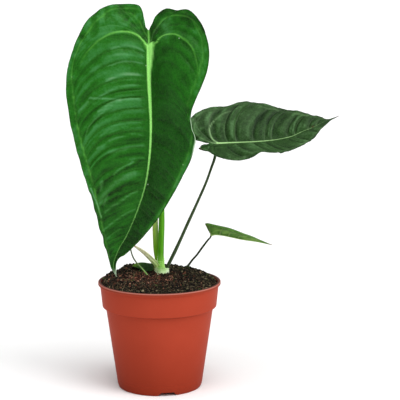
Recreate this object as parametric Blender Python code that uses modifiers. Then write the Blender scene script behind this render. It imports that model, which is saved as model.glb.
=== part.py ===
"""Potted king anthurium: a nursery pot filled with soil, with a short crown that carries two large
leaves on long stalks, a rolled new leaf, a drying sheath and three small leaves.

Units are metres and +Z is up. The origin is on the pot's axis, at the level the pot stands on.
The plant faces -Y: its big leaf hangs in front of its stalk.
"""

import math

import bmesh
import bpy
import numpy as np
from mathutils import Matrix, Vector

OBJECT_NAME = "potted_king_anthurium"

# Nursery pot of the 12 cm size
RIM_RADIUS = 0.0600
POT_HEIGHT = 0.1050
WALL = 0.0010
LIP_WIDTH = 0.0019
LIP_DEPTH = 0.0029
COLLAR_TOP_RADIUS = RIM_RADIUS - LIP_WIDTH
COLLAR_FOOT_RADIUS = 0.0563
COLLAR_FOOT = 0.0818
STEP_FOOT = 0.0769
BODY_TOP_RADIUS = 0.0526
FOOT_RADIUS = 0.0418
FOOT_RING_WIDTH = 0.0035
FLOOR_UNDERSIDE = 0.0040
FLOOR_TOP = FLOOR_UNDERSIDE + 0.0012
PAD_RADIUS = 0.0095
POT_STEPS = 48

# Three notches through the foot ring, the first one 12 degrees to the right of the front
NOTCH_COUNT = 3
NOTCH_ANGLE = math.radians(-78)
NOTCH_HEIGHT = 0.0036
NOTCH_TOP_WIDTH = 0.0120
NOTCH_FOOT_WIDTH = 0.0190
DRAIN_RADIUS = 0.0035
DRAIN_CIRCLE = 0.0260

# Solids that touch in the real plant keep this gap
GAP = 0.0003

# Soil: domed, steeper towards the back left, where it is heaped, and lower before the crown
SOIL_EDGE = 0.1022
SOIL_EDGE_RADIUS = COLLAR_TOP_RADIUS - WALL - GAP
SOIL_RISE = 0.0080
SOIL_BACK_RISE = 0.0010
SOIL_SHOULDER = 0.0070
SOIL_SHOULDER_CHANGE = 0.0055
SOIL_STEEP_SIDE = (-0.447, 0.894)
SOIL_HEAP = (-0.0270, 0.0300)
SOIL_HEAP_HEIGHT = 0.0022
SOIL_HEAP_RADIUS = 0.0120
SOIL_DIP = (0.0010, -0.0010)
SOIL_DIP_DEPTH = 0.0022
SOIL_DIP_RADIUS = 0.0110
SOIL_RINGS = 13
SOIL_RING_CROWDING = 1.35
CRUMB_RELIEF = 0.0006

# Blades
BLADE_THICKNESS = 0.0008
SMALL_BLADE_THICKNESS = 0.0007
KEEL_THICKNESS = 0.0020
CURVE_SAMPLES = 600

# The vein rows' four curve values at the sinus, in the lobe, at the basal vein, four veins on and
# at the tip: how far along the chord each of the two control points lies, and how far it is
# lifted towards the leaf's base
MAIN_BEND = (
    (0.33, 0.15, 0.28, 0.46, 0.48),
    (0.00, 0.19, 0.375, 0.25, 0.28),
    (0.67, 0.39, 0.84, 0.84, 0.86),
    (0.00, 0.33, 0.53, 0.34, 0.35),
)
SIDE_BEND = (
    (0.33, 0.15, 0.28, 0.40, 0.45),
    (0.00, 0.19, 0.26, 0.20, 0.20),
    (0.67, 0.39, 0.84, 0.84, 0.86),
    (0.00, 0.33, 0.34, 0.27, 0.27),
)

LEAF_MAIN = {
    "face": (0, -1, 0),
    "midrib": [
        (-0.0079, -0.0140, 0.3331), (-0.0076, -0.0200, 0.3071), (-0.0064, -0.0250, 0.2793),
        (-0.0061, -0.0280, 0.2560), (-0.0077, -0.0290, 0.2296), (-0.0117, -0.0280, 0.2046),
        (-0.0188, -0.0250, 0.1815), (-0.0293, -0.0210, 0.1562), (-0.0418, -0.0160, 0.1317),
        (-0.0441, -0.0140, 0.1234), (-0.0416, -0.0100, 0.1107),
    ],
    "sinus": (-0.0088, -0.0120, 0.3486),
    "left": [
        (-0.0119, -0.0115, 0.3524), (-0.0145, -0.0100, 0.3563), (-0.0139, -0.0080, 0.3634),
        (-0.0165, -0.0060, 0.3705), (-0.0319, -0.0030, 0.3734), (-0.0507, -0.0020, 0.3708),
        (-0.0647, -0.0040, 0.3601), (-0.0769, -0.0080, 0.3399), (-0.0857, -0.0130, 0.3122),
        (-0.0868, -0.0170, 0.2881), (-0.0842, -0.0200, 0.2684), (-0.0800, -0.0220, 0.2478),
        (-0.0741, -0.0230, 0.2240), (-0.0646, -0.0220, 0.1929), (-0.0569, -0.0190, 0.1616),
        (-0.0492, -0.0140, 0.1307), (-0.0456, -0.0120, 0.1182),
    ],
    "right": [
        (-0.0055, -0.0140, 0.3548), (-0.0006, -0.0170, 0.3639), (0.0078, -0.0210, 0.3692),
        (0.0183, -0.0260, 0.3676), (0.0286, -0.0320, 0.3684), (0.0373, -0.0380, 0.3608),
        (0.0443, -0.0430, 0.3471), (0.0482, -0.0480, 0.3305), (0.0466, -0.0530, 0.3138),
        (0.0410, -0.0570, 0.2985), (0.0355, -0.0600, 0.2861), (0.0310, -0.0620, 0.2725),
        (0.0323, -0.0610, 0.2617), (0.0348, -0.0590, 0.2509), (0.0330, -0.0550, 0.2361),
        (0.0253, -0.0510, 0.2183), (0.0147, -0.0450, 0.1974), (-0.0030, -0.0340, 0.1683),
        (-0.0271, -0.0220, 0.1394), (-0.0401, -0.0140, 0.1264),
    ],
    "lobe_veins": 6,
    "side_veins": 24,
    "reach": (0.45, 0.35),
    "spread": (0.86, 0.95),
    "bow": (0.10, 0.12),
    "bend": MAIN_BEND,
    "relief": 0.0016,
    "rows_per_vein": 3,
    "columns": (0, 0.07, 0.22, 0.45, 0.68, 0.87, 1),
    "thickness": BLADE_THICKNESS,
    "keel": KEEL_THICKNESS,
    "keel_reach": 0.75,
    "color": "#1F6B22",
}

LEAF_RIGHT = {
    "face": (0, -0.3, 1),
    "midrib": [
        (0.0560, 0.0140, 0.2380), (0.0740, 0.0130, 0.2390), (0.0920, 0.0120, 0.2400),
        (0.1170, 0.0100, 0.2430), (0.1280, 0.0100, 0.2455), (0.1400, 0.0095, 0.2510),
        (0.1500, 0.0090, 0.2550), (0.1620, 0.0080, 0.2615), (0.1740, 0.0080, 0.2660),
    ],
    "sinus": (0.0500, 0.0150, 0.2390),
    "left": [
        (0.0430, 0.0160, 0.2400), (0.0360, 0.0190, 0.2410), (0.0270, 0.0250, 0.2490),
        (0.0300, 0.0330, 0.2610), (0.0410, 0.0380, 0.2690), (0.0540, 0.0410, 0.2720),
        (0.0700, 0.0420, 0.2730), (0.0820, 0.0430, 0.2770), (0.0980, 0.0420, 0.2760),
        (0.1140, 0.0380, 0.2720), (0.1340, 0.0300, 0.2690), (0.1540, 0.0190, 0.2650),
        (0.1650, 0.0110, 0.2630),
    ],
    "right": [
        (0.0465, 0.0100, 0.2383), (0.0420, 0.0050, 0.2385), (0.0390, -0.0010, 0.2360),
        (0.0415, -0.0040, 0.2345), (0.0480, -0.0070, 0.2330), (0.0590, -0.0130, 0.2280),
        (0.0690, -0.0170, 0.2260), (0.0790, -0.0190, 0.2260), (0.0890, -0.0200, 0.2290),
        (0.0970, -0.0200, 0.2334), (0.1110, -0.0190, 0.2336), (0.1210, -0.0170, 0.2340),
        (0.1360, -0.0120, 0.2388), (0.1492, -0.0050, 0.2462), (0.1563, 0.0000, 0.2538),
        (0.1640, 0.0040, 0.2610),
    ],
    "lobe_veins": 3,
    "side_veins": 11,
    "reach": (0.39, 0.30),
    "spread": (0.68, 0.75),
    "bow": (0.10, 0.10),
    "bend": SIDE_BEND,
    "relief": 0.0024,
    "rows_per_vein": 3,
    "columns": (0, 0.07, 0.24, 0.46, 0.68, 0.87, 1),
    "thickness": BLADE_THICKNESS,
    "keel": KEEL_THICKNESS,
    "keel_reach": 0.75,
    "color": "#3F6B45",
}

LEAF_LOW_RIGHT = {
    "face": (0, 0, 1),
    "midrib": [
        (0.0508, 0.0180, 0.1470), (0.0537, 0.0175, 0.1479), (0.0604, 0.0165, 0.1478),
        (0.0698, 0.0150, 0.1463), (0.0796, 0.0130, 0.1445), (0.0960, 0.0105, 0.1421),
        (0.1109, 0.0080, 0.1389),
    ],
    "sinus": (0.0500, 0.0180, 0.1480),
    "left": [
        (0.0492, 0.0210, 0.1510), (0.0474, 0.0235, 0.1545), (0.0458, 0.0255, 0.1578),
        (0.0490, 0.0270, 0.1572), (0.0560, 0.0268, 0.1556), (0.0690, 0.0245, 0.1528),
        (0.0830, 0.0200, 0.1486), (0.0960, 0.0150, 0.1442),
    ],
    "right": [
        (0.0492, 0.0145, 0.1512), (0.0472, 0.0120, 0.1551), (0.0450, 0.0100, 0.1596),
        (0.0484, 0.0090, 0.1589), (0.0561, 0.0075, 0.1573), (0.0688, 0.0060, 0.1543),
        (0.0826, 0.0060, 0.1496), (0.0956, 0.0070, 0.1452),
    ],
    "lobe_veins": 2,
    "side_veins": 7,
    "reach": (0.24, 0.24),
    "spread": (0.80, 0.80),
    "bow": (0.12, 0.12),
    "bend": SIDE_BEND,
    "relief": 0.0005,
    "rows_per_vein": 2,
    "columns": (0, 0.10, 0.40, 0.72, 1),
    "thickness": SMALL_BLADE_THICKNESS,
    "keel": 0.0012,
    "keel_reach": 0.7,
    "color": "#4B8B2E",
}

LEAF_LEFT = {
    "face": (-0.6, 0.6, 0.5),
    "midrib": [
        (-0.0310, 0.0030, 0.1900), (-0.0345, 0.0060, 0.1890), (-0.0385, 0.0100, 0.1840),
        (-0.0420, 0.0140, 0.1740), (-0.0440, 0.0170, 0.1640), (-0.0450, 0.0185, 0.1560),
    ],
    "sinus": (-0.0300, 0.0020, 0.1915),
    "left": [
        (-0.0260, 0.0040, 0.1950), (-0.0220, 0.0085, 0.1955), (-0.0215, 0.0130, 0.1920),
        (-0.0245, 0.0175, 0.1850), (-0.0300, 0.0215, 0.1760), (-0.0370, 0.0220, 0.1660),
        (-0.0420, 0.0205, 0.1600),
    ],
    "right": [
        (-0.0335, -0.0025, 0.1950), (-0.0385, -0.0060, 0.1955), (-0.0425, -0.0060, 0.1920),
        (-0.0465, -0.0020, 0.1850), (-0.0490, 0.0045, 0.1760), (-0.0490, 0.0115, 0.1660),
        (-0.0470, 0.0160, 0.1600),
    ],
    "lobe_veins": 2,
    "side_veins": 6,
    "reach": (0.30, 0.30),
    "spread": (0.80, 0.80),
    "bow": (0.06, 0.06),
    "bend": SIDE_BEND,
    "relief": 0.0006,
    "rows_per_vein": 2,
    "columns": (0, 0.10, 0.40, 0.72, 1),
    "thickness": SMALL_BLADE_THICKNESS,
    "keel": 0.0012,
    "keel_reach": 0.7,
    "color": "#3B7D2C",
}

LEAF_SOIL = {
    "face": (0, -0.4, 1),
    "midrib": [
        (-0.0109, 0.0240, 0.1171), (-0.0161, 0.0240, 0.1180), (-0.0210, 0.0235, 0.1180),
        (-0.0250, 0.0228, 0.1170), (-0.0277, 0.0220, 0.1150),
    ],
    "sinus": (-0.0098, 0.0238, 0.1168),
    "left": [
        (-0.0080, 0.0275, 0.1160), (-0.0085, 0.0315, 0.1148), (-0.0115, 0.0345, 0.1138),
        (-0.0165, 0.0345, 0.1140), (-0.0215, 0.0315, 0.1144), (-0.0252, 0.0265, 0.1150),
    ],
    "right": [
        (-0.0084, 0.0205, 0.1160), (-0.0078, 0.0165, 0.1144), (-0.0088, 0.0125, 0.1126),
        (-0.0125, 0.0105, 0.1122), (-0.0178, 0.0130, 0.1130), (-0.0228, 0.0170, 0.1142),
        (-0.0260, 0.0200, 0.1146),
    ],
    "lobe_veins": 2,
    "side_veins": 5,
    "reach": (0.36, 0.36),
    "spread": (0.80, 0.80),
    "bow": (0.08, 0.08),
    "bend": SIDE_BEND,
    "relief": 0.0005,
    "rows_per_vein": 2,
    "columns": (0, 0.12, 0.45, 0.75, 1),
    "thickness": SMALL_BLADE_THICKNESS,
    "keel": 0.0010,
    "keel_reach": 0.7,
    "color": "#234F1E",
}

# Stalks: (x, y, z, radius) along each one from its buried foot. A stalk that carries a blade
# ends under the blade's junction, which is worked out from the blade.
STALK_SIDES_RESOLUTION = 2
SEAT_TAPER = 0.6
PETIOLE_MAIN = {
    "points": [
        (0.0001, 0.0074, 0.1120, 0.0028), (0.0005, 0.0070, 0.1180, 0.0029),
        (0.0013, 0.0066, 0.1290, 0.0029), (0.0019, 0.0065, 0.1390, 0.0028),
        (0.0025, 0.0065, 0.1700, 0.0026), (0.0019, 0.0062, 0.1950, 0.0024),
        (0.0008, 0.0058, 0.2134, 0.0024), (-0.0010, 0.0045, 0.2430, 0.0023),
        (-0.0030, 0.0020, 0.2722, 0.0022), (-0.0052, -0.0012, 0.2990, 0.0022),
        (-0.0066, -0.0032, 0.3120, 0.0024), (-0.0074, -0.0048, 0.3210, 0.0027),
        (-0.0079, -0.0072, 0.3288, 0.0027),
    ],
    "end_radius": 0.0024,
    "seat_gap": 0.0011,
    "stations": 22,
    "color": "#4E9A2E",
}
PETIOLE_RIGHT = {
    "points": [
        (0.0060, 0.0112, 0.1095, 0.0016), (0.0069, 0.0115, 0.1135, 0.0017),
        (0.0085, 0.0119, 0.1182, 0.0018), (0.0107, 0.0121, 0.1228, 0.0017),
        (0.0135, 0.0123, 0.1285, 0.0017), (0.0173, 0.0125, 0.1365, 0.0016),
        (0.0271, 0.0134, 0.1583, 0.0015), (0.0379, 0.0142, 0.1821, 0.0013),
        (0.0464, 0.0149, 0.2018, 0.0012), (0.0509, 0.0150, 0.2147, 0.0012),
        (0.0539, 0.0150, 0.2235, 0.0013), (0.0553, 0.0147, 0.2310, 0.0014),
    ],
    "end_radius": 0.0013,
    "seat_gap": 0.0009,
    "stations": 16,
    "color": "#45603A",
}
PETIOLE_LOW_RIGHT = {
    "points": [
        (0.0215, 0.0370, 0.1050, 0.0011), (0.0240, 0.0354, 0.1083, 0.0012),
        (0.0263, 0.0342, 0.1111, 0.0014), (0.0284, 0.0332, 0.1137, 0.0011),
        (0.0312, 0.0315, 0.1180, 0.0010), (0.0366, 0.0285, 0.1249, 0.0010),
        (0.0419, 0.0240, 0.1332, 0.0010), (0.0479, 0.0198, 0.1420, 0.0009),
    ],
    "end_radius": 0.0008,
    "seat_gap": 0.0005,
    "stations": 12,
    "color": "#45603A",
}
PETIOLE_LEFT = {
    "points": [
        (-0.0070, 0.0018, 0.1040, 0.0008), (-0.0098, 0.0012, 0.1075, 0.0008),
        (-0.0122, 0.0005, 0.1108, 0.0008), (-0.0173, -0.0005, 0.1174, 0.0007),
        (-0.0226, -0.0015, 0.1236, 0.0007), (-0.0257, -0.0020, 0.1289, 0.0007),
        (-0.0273, -0.0024, 0.1340, 0.0007), (-0.0285, -0.0026, 0.1450, 0.0007),
        (-0.0292, -0.0024, 0.1620, 0.0007), (-0.0296, -0.0016, 0.1780, 0.0007),
        (-0.0302, 0.0002, 0.1850, 0.0008),
    ],
    "end_radius": 0.0007,
    "seat_gap": 0.0003,
    "stations": 16,
    "color": "#8AA765",
}
PETIOLE_SOIL = {
    "points": [
        (-0.0068, 0.0185, 0.1040, 0.0008), (-0.0062, 0.0190, 0.1090, 0.0008),
        (-0.0060, 0.0198, 0.1115, 0.0007), (-0.0064, 0.0210, 0.1132, 0.0007),
        (-0.0080, 0.0225, 0.1144, 0.0007),
    ],
    "end_radius": 0.0006,
    "seat_gap": 0.0010,
    "stations": 9,
    "color": "#6B6A35",
}
FURLED_LEAF = {
    "points": [
        (-0.0019, 0.0133, 0.1140, 0.0019), (-0.0021, 0.0133, 0.1180, 0.0021),
        (-0.0033, 0.0128, 0.1330, 0.0023), (-0.0042, 0.0121, 0.1450, 0.0023),
        (-0.0046, 0.0114, 0.1610, 0.0023), (-0.0042, 0.0106, 0.1850, 0.0021),
        (-0.0036, 0.0100, 0.2050, 0.0014), (-0.0031, 0.0098, 0.2200, 0.0005),
    ],
    "end_radius": None,
    "stations": 16,
    "color": "#8B9C45",
}

# Crown: overlapping short stems, joined into one body
CROWN_STEMS = {
    "crown_trunk": [
        (0.0005, 0.0090, 0.0900, 0.0042), (0.0006, 0.0090, 0.0960, 0.0050),
        (0.0007, 0.0088, 0.1060, 0.0053), (0.0008, 0.0085, 0.1120, 0.0052),
        (0.0008, 0.0080, 0.1165, 0.0049), (0.0009, 0.0076, 0.1210, 0.0045),
    ],
    "crown_back": [
        (0.0000, 0.0115, 0.0930, 0.0030), (-0.0008, 0.0125, 0.1000, 0.0036),
        (-0.0014, 0.0130, 0.1080, 0.0037), (-0.0017, 0.0132, 0.1140, 0.0034),
        (-0.0019, 0.0133, 0.1185, 0.0031),
    ],
    "crown_nub": [
        (0.0010, 0.0095, 0.1010, 0.0040), (0.0040, 0.0105, 0.1070, 0.0040),
        (0.0062, 0.0112, 0.1115, 0.0034), (0.0074, 0.0115, 0.1138, 0.0028),
    ],
}
CROWN_STATIONS = 9

# Drying sheath: it hugs the crown's front left side, then peels away to the left
SHEATH_PATH = [
    (-0.0026, 0.0026, 0.1120), (-0.0029, 0.0026, 0.1150), (-0.0043, 0.0024, 0.1199),
    (-0.0079, 0.0020, 0.1250), (-0.0122, 0.0014, 0.1298), (-0.0178, 0.0007, 0.1347),
    (-0.0235, 0.0000, 0.1385),
]
SHEATH_OUT = (-0.50, -0.87, 0)
SHEATH_HALF_WIDTHS = (0.0040, 0.0038, 0.0034, 0.0029, 0.0024, 0.0018, 0.0009)
SHEATH_CURL_RADIUS = 0.0062
SHEATH_ROWS = 14
SHEATH_COLUMNS = 8
SHEATH_THICKNESS = 0.0007


def linear(hex_color):
    """The linear RGBA of an sRGB hex colour."""
    values = [int(hex_color[i : i + 2], 16) / 255 for i in (1, 3, 5)]
    return [v / 12.92 if v <= 0.04045 else ((v + 0.055) / 1.055) ** 2.4 for v in values] + [1]


def material(name, color, roughness):
    made = bpy.data.materials.new(name)
    made.use_nodes = True
    surface = made.node_tree.nodes["Principled BSDF"]
    surface.inputs["Base Color"].default_value = linear(color)
    surface.inputs["Roughness"].default_value = roughness
    surface.inputs["Metallic"].default_value = 0
    return made


def place(obj, collection, color=None, roughness=0.5):
    """Puts the object in its collection alone, with a material of its own."""
    for other in list(obj.users_collection):
        other.objects.unlink(obj)
    collection.objects.link(obj)
    if color:
        obj.data.materials.clear()
        obj.data.materials.append(material(obj.name, color, roughness))
    return obj


def curve_through(points, at):
    """Points at the shares `at` of the length of a smooth curve through `points`."""
    points = np.array(points, float)
    steps = np.linalg.norm(np.diff(points[:, :3], axis=0), axis=1)
    knots = np.concatenate([[0], np.cumsum(steps)])
    slopes = np.gradient(points, knots, axis=0)
    fine = np.linspace(0, knots[-1], CURVE_SAMPLES)
    i = np.clip(np.searchsorted(knots, fine, "right") - 1, 0, len(knots) - 2)
    step = (knots[i + 1] - knots[i])[:, None]
    u = (fine[:, None] - knots[i][:, None]) / step
    path = (
        (1 + 2 * u) * (1 - u) ** 2 * points[i]
        + u * (1 - u) ** 2 * step * slopes[i]
        + u * u * (3 - 2 * u) * points[i + 1]
        + u * u * (u - 1) * step * slopes[i + 1]
    )
    steps = np.linalg.norm(np.diff(path[:, :3], axis=0), axis=1)
    length = np.concatenate([[0], np.cumsum(steps)])
    wanted = np.asarray(at) * length[-1]
    return np.stack([np.interp(wanted, length, column) for column in path.T], axis=-1)


def unit(vectors):
    return vectors / np.maximum(np.linalg.norm(vectors, axis=-1, keepdims=True), 1e-12)


def mesh_of(obj):
    """The object's evaluated mesh, with its close vertices welded."""
    graph = bpy.context.evaluated_depsgraph_get()
    made = bpy.data.meshes.new_from_object(obj.evaluated_get(graph))
    shape = bmesh.new()
    shape.from_mesh(made)
    bmesh.ops.remove_doubles(shape, verts=shape.verts, dist=1e-6)
    bmesh.ops.recalc_face_normals(shape, faces=shape.faces)
    shape.to_mesh(made)
    shape.free()
    return made


def as_plain_mesh(obj, collection):
    """A mesh object with the evaluated shape of `obj`, which it replaces."""
    bpy.context.view_layer.update()
    name = obj.name
    matrix = obj.matrix_world.copy()
    made = mesh_of(obj)
    bpy.data.objects.remove(obj)
    made.name = name
    plain = bpy.data.objects.new(name, made)
    collection.objects.link(plain)
    plain.matrix_world = matrix
    return plain


def turned(name, profile, steps, collection):
    """A body turned round +Z from (radius, z) points that run down its outer side."""
    mesh = bpy.data.meshes.new(name)
    mesh.from_pydata([(r, 0, z) for r, z in profile], [(i, i + 1) for i in range(len(profile) - 1)], [])
    obj = bpy.data.objects.new(name, mesh)
    collection.objects.link(obj)
    screw = obj.modifiers.new("turn", "SCREW")
    screw.steps = screw.render_steps = steps
    screw.use_merge_vertices = True
    screw.merge_threshold = 0.0001
    return as_plain_mesh(obj, collection)


def tube(name, path, collection, grow=0.0):
    """A round stem along (x, y, z, radius) points. `grow` fattens it and lengthens both ends."""
    path = np.array(path, float)
    ends = unit(path[[0, -1], :3] - path[[1, -2], :3])
    path[[0, -1], :3] += ends * grow
    curve = bpy.data.curves.new(name, "CURVE")
    curve.dimensions = "3D"
    curve.bevel_depth = 1.0
    curve.bevel_resolution = STALK_SIDES_RESOLUTION
    curve.use_fill_caps = True
    spline = curve.splines.new("POLY")
    spline.points.add(len(path) - 1)
    for point, (x, y, z, radius) in zip(spline.points, path):
        point.co = (x, y, z, 1)
        point.radius = radius + grow
    obj = bpy.data.objects.new(name, curve)
    collection.objects.link(obj)
    return as_plain_mesh(obj, collection)


def boolean(obj, other, operation="DIFFERENCE"):
    step = obj.modifiers.new(other.name, "BOOLEAN")
    step.operation = operation
    step.solver = "EXACT"
    step.object = other


def hide(obj):
    obj.hide_render = True
    obj.display_type = "WIRE"
    return obj


def sheet(name, places, collection, face):
    """An open surface of triangles through a grid of places, turned so that it faces `face`."""
    rows, columns = places.shape[:2]
    shape = bmesh.new()
    bmesh.ops.create_grid(shape, x_segments=columns - 1, y_segments=rows - 1, size=1)
    for vertex in shape.verts:
        column = round((vertex.co.x + 1) / 2 * (columns - 1))
        row = round((vertex.co.y + 1) / 2 * (rows - 1))
        vertex.co = places[row, column]
    bmesh.ops.remove_doubles(shape, verts=shape.verts, dist=2e-6)
    bmesh.ops.triangulate(shape, faces=shape.faces, quad_method="SHORT_EDGE")
    bmesh.ops.recalc_face_normals(shape, faces=shape.faces)
    facing = sum((f.normal * f.calc_area() for f in shape.faces), Vector())
    if facing.dot(Vector(face)) < 0:
        bmesh.ops.reverse_faces(shape, faces=shape.faces)
    mesh = bpy.data.meshes.new(name)
    shape.to_mesh(mesh)
    shape.free()
    obj = bpy.data.objects.new(name, mesh)
    collection.objects.link(obj)
    return obj


def thicken(obj, thickness):
    """Gives the sheet its thickness behind its upper face."""
    wall = obj.modifiers.new("thickness", "SOLIDIFY")
    wall.thickness = thickness
    wall.offset = -1
    return wall


def blade_rows(leaf, veins, across):
    """The blade's upper face, without relief: a grid of points for each vein number and share across.

    A row is a cubic curve from its origin O, at the junction for the lobe's veins and on the midrib
    for the others, to its end E on the margin: P(u) = (1-u)^3 O + 3u(1-u)^2 C1 + 3u^2(1-u) C2 + u^3 E.
    """
    lobe = leaf["lobe_veins"]
    total = lobe + leaf["side_veins"]
    junction = np.array(leaf["midrib"][0])
    share = np.clip((veins - lobe) / leaf["side_veins"], 0, 1)
    origin = curve_through(leaf["midrib"], share)
    ahead = curve_through(leaf["midrib"], np.clip(share + 0.02, 0, 1))
    behind = curve_through(leaf["midrib"], np.clip(share - 0.02, 0, 1))
    fan = np.clip(veins / lobe, 0, 1)[:, None]
    base = unit(unit(np.array(leaf["sinus"]) - junction) * (1 - fan) + unit(behind - ahead) * fan)
    marks = [0, 0.5 * lobe, lobe, lobe + 4, total]
    first, first_lift, second, second_lift = [
        np.interp(veins, marks, values)[:, None] for values in leaf["bend"]
    ]
    halves = []
    for side, name in enumerate(("left", "right")):
        margin = [leaf["sinus"]] + leaf[name] + [leaf["midrib"][-1]]
        reach = leaf["reach"][side]
        at = np.where(
            veins <= lobe, reach * veins / lobe, reach + (1 - reach) * share ** leaf["spread"][side]
        )
        end = curve_through(margin, at)
        chord = np.linalg.norm(end - origin, axis=1, keepdims=True)
        up = unit(np.cross(end - origin, base))
        up = up * np.sign(up @ np.array(leaf["face"], float))[:, None]
        bow = up * leaf["bow"][side] * chord * fan
        control = origin + (end - origin) * first + base * first_lift * chord + bow
        control_end = origin + (end - origin) * second + base * second_lift * chord + 0.8 * bow
        u = np.abs(across[across <= 0] if side == 0 else across[across >= 0])[None, :, None]
        halves.append(
            (1 - u) ** 3 * origin[:, None]
            + 3 * u * (1 - u) ** 2 * control[:, None]
            + 3 * u * u * (1 - u) * control_end[:, None]
            + u**3 * end[:, None]
        )
    return np.concatenate([halves[0], halves[1][:, 1:]], axis=1)


def blade_normals(places, face):
    along = np.gradient(places, axis=0)
    across = np.gradient(places, axis=1)
    normals = unit(np.cross(along, across))
    return normals * np.where(normals @ np.array(face, float) < 0, -1, 1)[..., None]


def blade_places(leaf):
    """The blade's grid with its ribs: the surface swells between veins and sinks at each vein."""
    total = leaf["lobe_veins"] + leaf["side_veins"]
    veins = np.arange(0, total * leaf["rows_per_vein"] + 1) / leaf["rows_per_vein"]
    half = np.array(leaf["columns"])
    across = np.concatenate([-half[:0:-1], half])
    places = blade_rows(leaf, veins, across)
    away = np.abs(across)[None]
    mask = np.clip(away / 0.12, 0, 1) * np.clip((1 - away) / 0.12, 0, 1)
    mask = mask * np.clip(veins, 0, 1)[:, None] * np.clip((total - veins) / 3, 0, 1)[:, None]
    swell = np.abs(np.sin(np.pi * veins))[:, None] ** 0.8 - 0.55
    lift = leaf["relief"] * swell * mask
    return places + blade_normals(places, leaf["face"]) * lift[..., None]


def junction_normal(leaf):
    """The direction out of the upper face where the stalk joins the blade."""
    midrib = curve_through(leaf["midrib"], [0, 0.04])
    along = unit(midrib[1] - midrib[0]) - unit(np.array(leaf["sinus"]) - midrib[0])
    lobe = np.array([leaf["lobe_veins"] * 1.0])
    sides = blade_rows(leaf, lobe, np.array([-0.15, 0, 0.15]))[0]
    normal = unit(np.cross(along, sides[2] - sides[0]))
    return normal * (1 if normal @ np.array(leaf["face"], float) > 0 else -1)


def blade(name, leaf, collection):
    """A blade: the ribbed sheet, thickened behind, thicker along the midrib as a keel."""
    obj = sheet(name, blade_places(leaf), collection, leaf["face"])
    place(obj, collection, leaf["color"], 0.45)
    keel = obj.vertex_groups.new(name="keel")
    shares = np.linspace(0, 1, 200)
    midrib = curve_through(leaf["midrib"], shares)
    for vertex in obj.data.vertices:
        away = np.linalg.norm(midrib - np.array(vertex.co), axis=1)
        near = int(np.argmin(away))
        fade = max(0.0, 1 - shares[near] / leaf["keel_reach"])
        on_rib = away[near] < leaf["keel"]
        keel.add([vertex.index], fade if on_rib else 0.0, "REPLACE")
    wall = thicken(obj, leaf["keel"])
    wall.vertex_group = keel.name
    wall.thickness_vertex_group = leaf["thickness"] / leaf["keel"]
    return obj


def stalk_path(stalk, leaf=None):
    """The stalk's (x, y, z, radius) stations, ending under the keel of the blade that it carries."""
    points = [list(p) for p in stalk["points"]]
    if leaf:
        normal = junction_normal(leaf)
        junction = np.array(leaf["midrib"][0])
        seat = junction - normal * (leaf["keel"] + stalk["seat_gap"])
        below = seat - normal * 1.5 * stalk["end_radius"]
        points.append([*below, stalk["end_radius"]])
        points.append([*seat, stalk["end_radius"] * SEAT_TAPER])
    return curve_through(points, np.linspace(0, 1, stalk["stations"]))


def soil_height(x, y):
    """Height of the soil: edge + rise * (1 - exp(-distance from the edge / shoulder)), and crumbs.

    The rise gains a little towards the back, a heap at the back left and a dip before the crown,
    each height * exp(-(distance / radius)^2).
    """
    inward = SOIL_EDGE_RADIUS - np.hypot(x, y)
    heap = np.exp(-(((x - SOIL_HEAP[0]) ** 2 + (y - SOIL_HEAP[1]) ** 2) / SOIL_HEAP_RADIUS**2))
    dip = np.exp(-(((x - SOIL_DIP[0]) ** 2 + (y - SOIL_DIP[1]) ** 2) / SOIL_DIP_RADIUS**2))
    rise = SOIL_RISE + SOIL_BACK_RISE * y / SOIL_EDGE_RADIUS
    rise = rise + SOIL_HEAP_HEIGHT * heap - SOIL_DIP_DEPTH * dip
    steep = (x * SOIL_STEEP_SIDE[0] + y * SOIL_STEEP_SIDE[1]) / SOIL_EDGE_RADIUS
    shoulder = SOIL_SHOULDER - SOIL_SHOULDER_CHANGE * steep
    crumbs = np.sin(x * 610 + 1.3) * np.sin(y * 540) + np.sin(x * 330 - y * 420 + 0.7) * 0.7
    fade = np.clip(inward / 0.006, 0, 1)
    return SOIL_EDGE + rise * (1 - np.exp(-inward / shoulder)) + crumbs * CRUMB_RELIEF * fade


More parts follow.
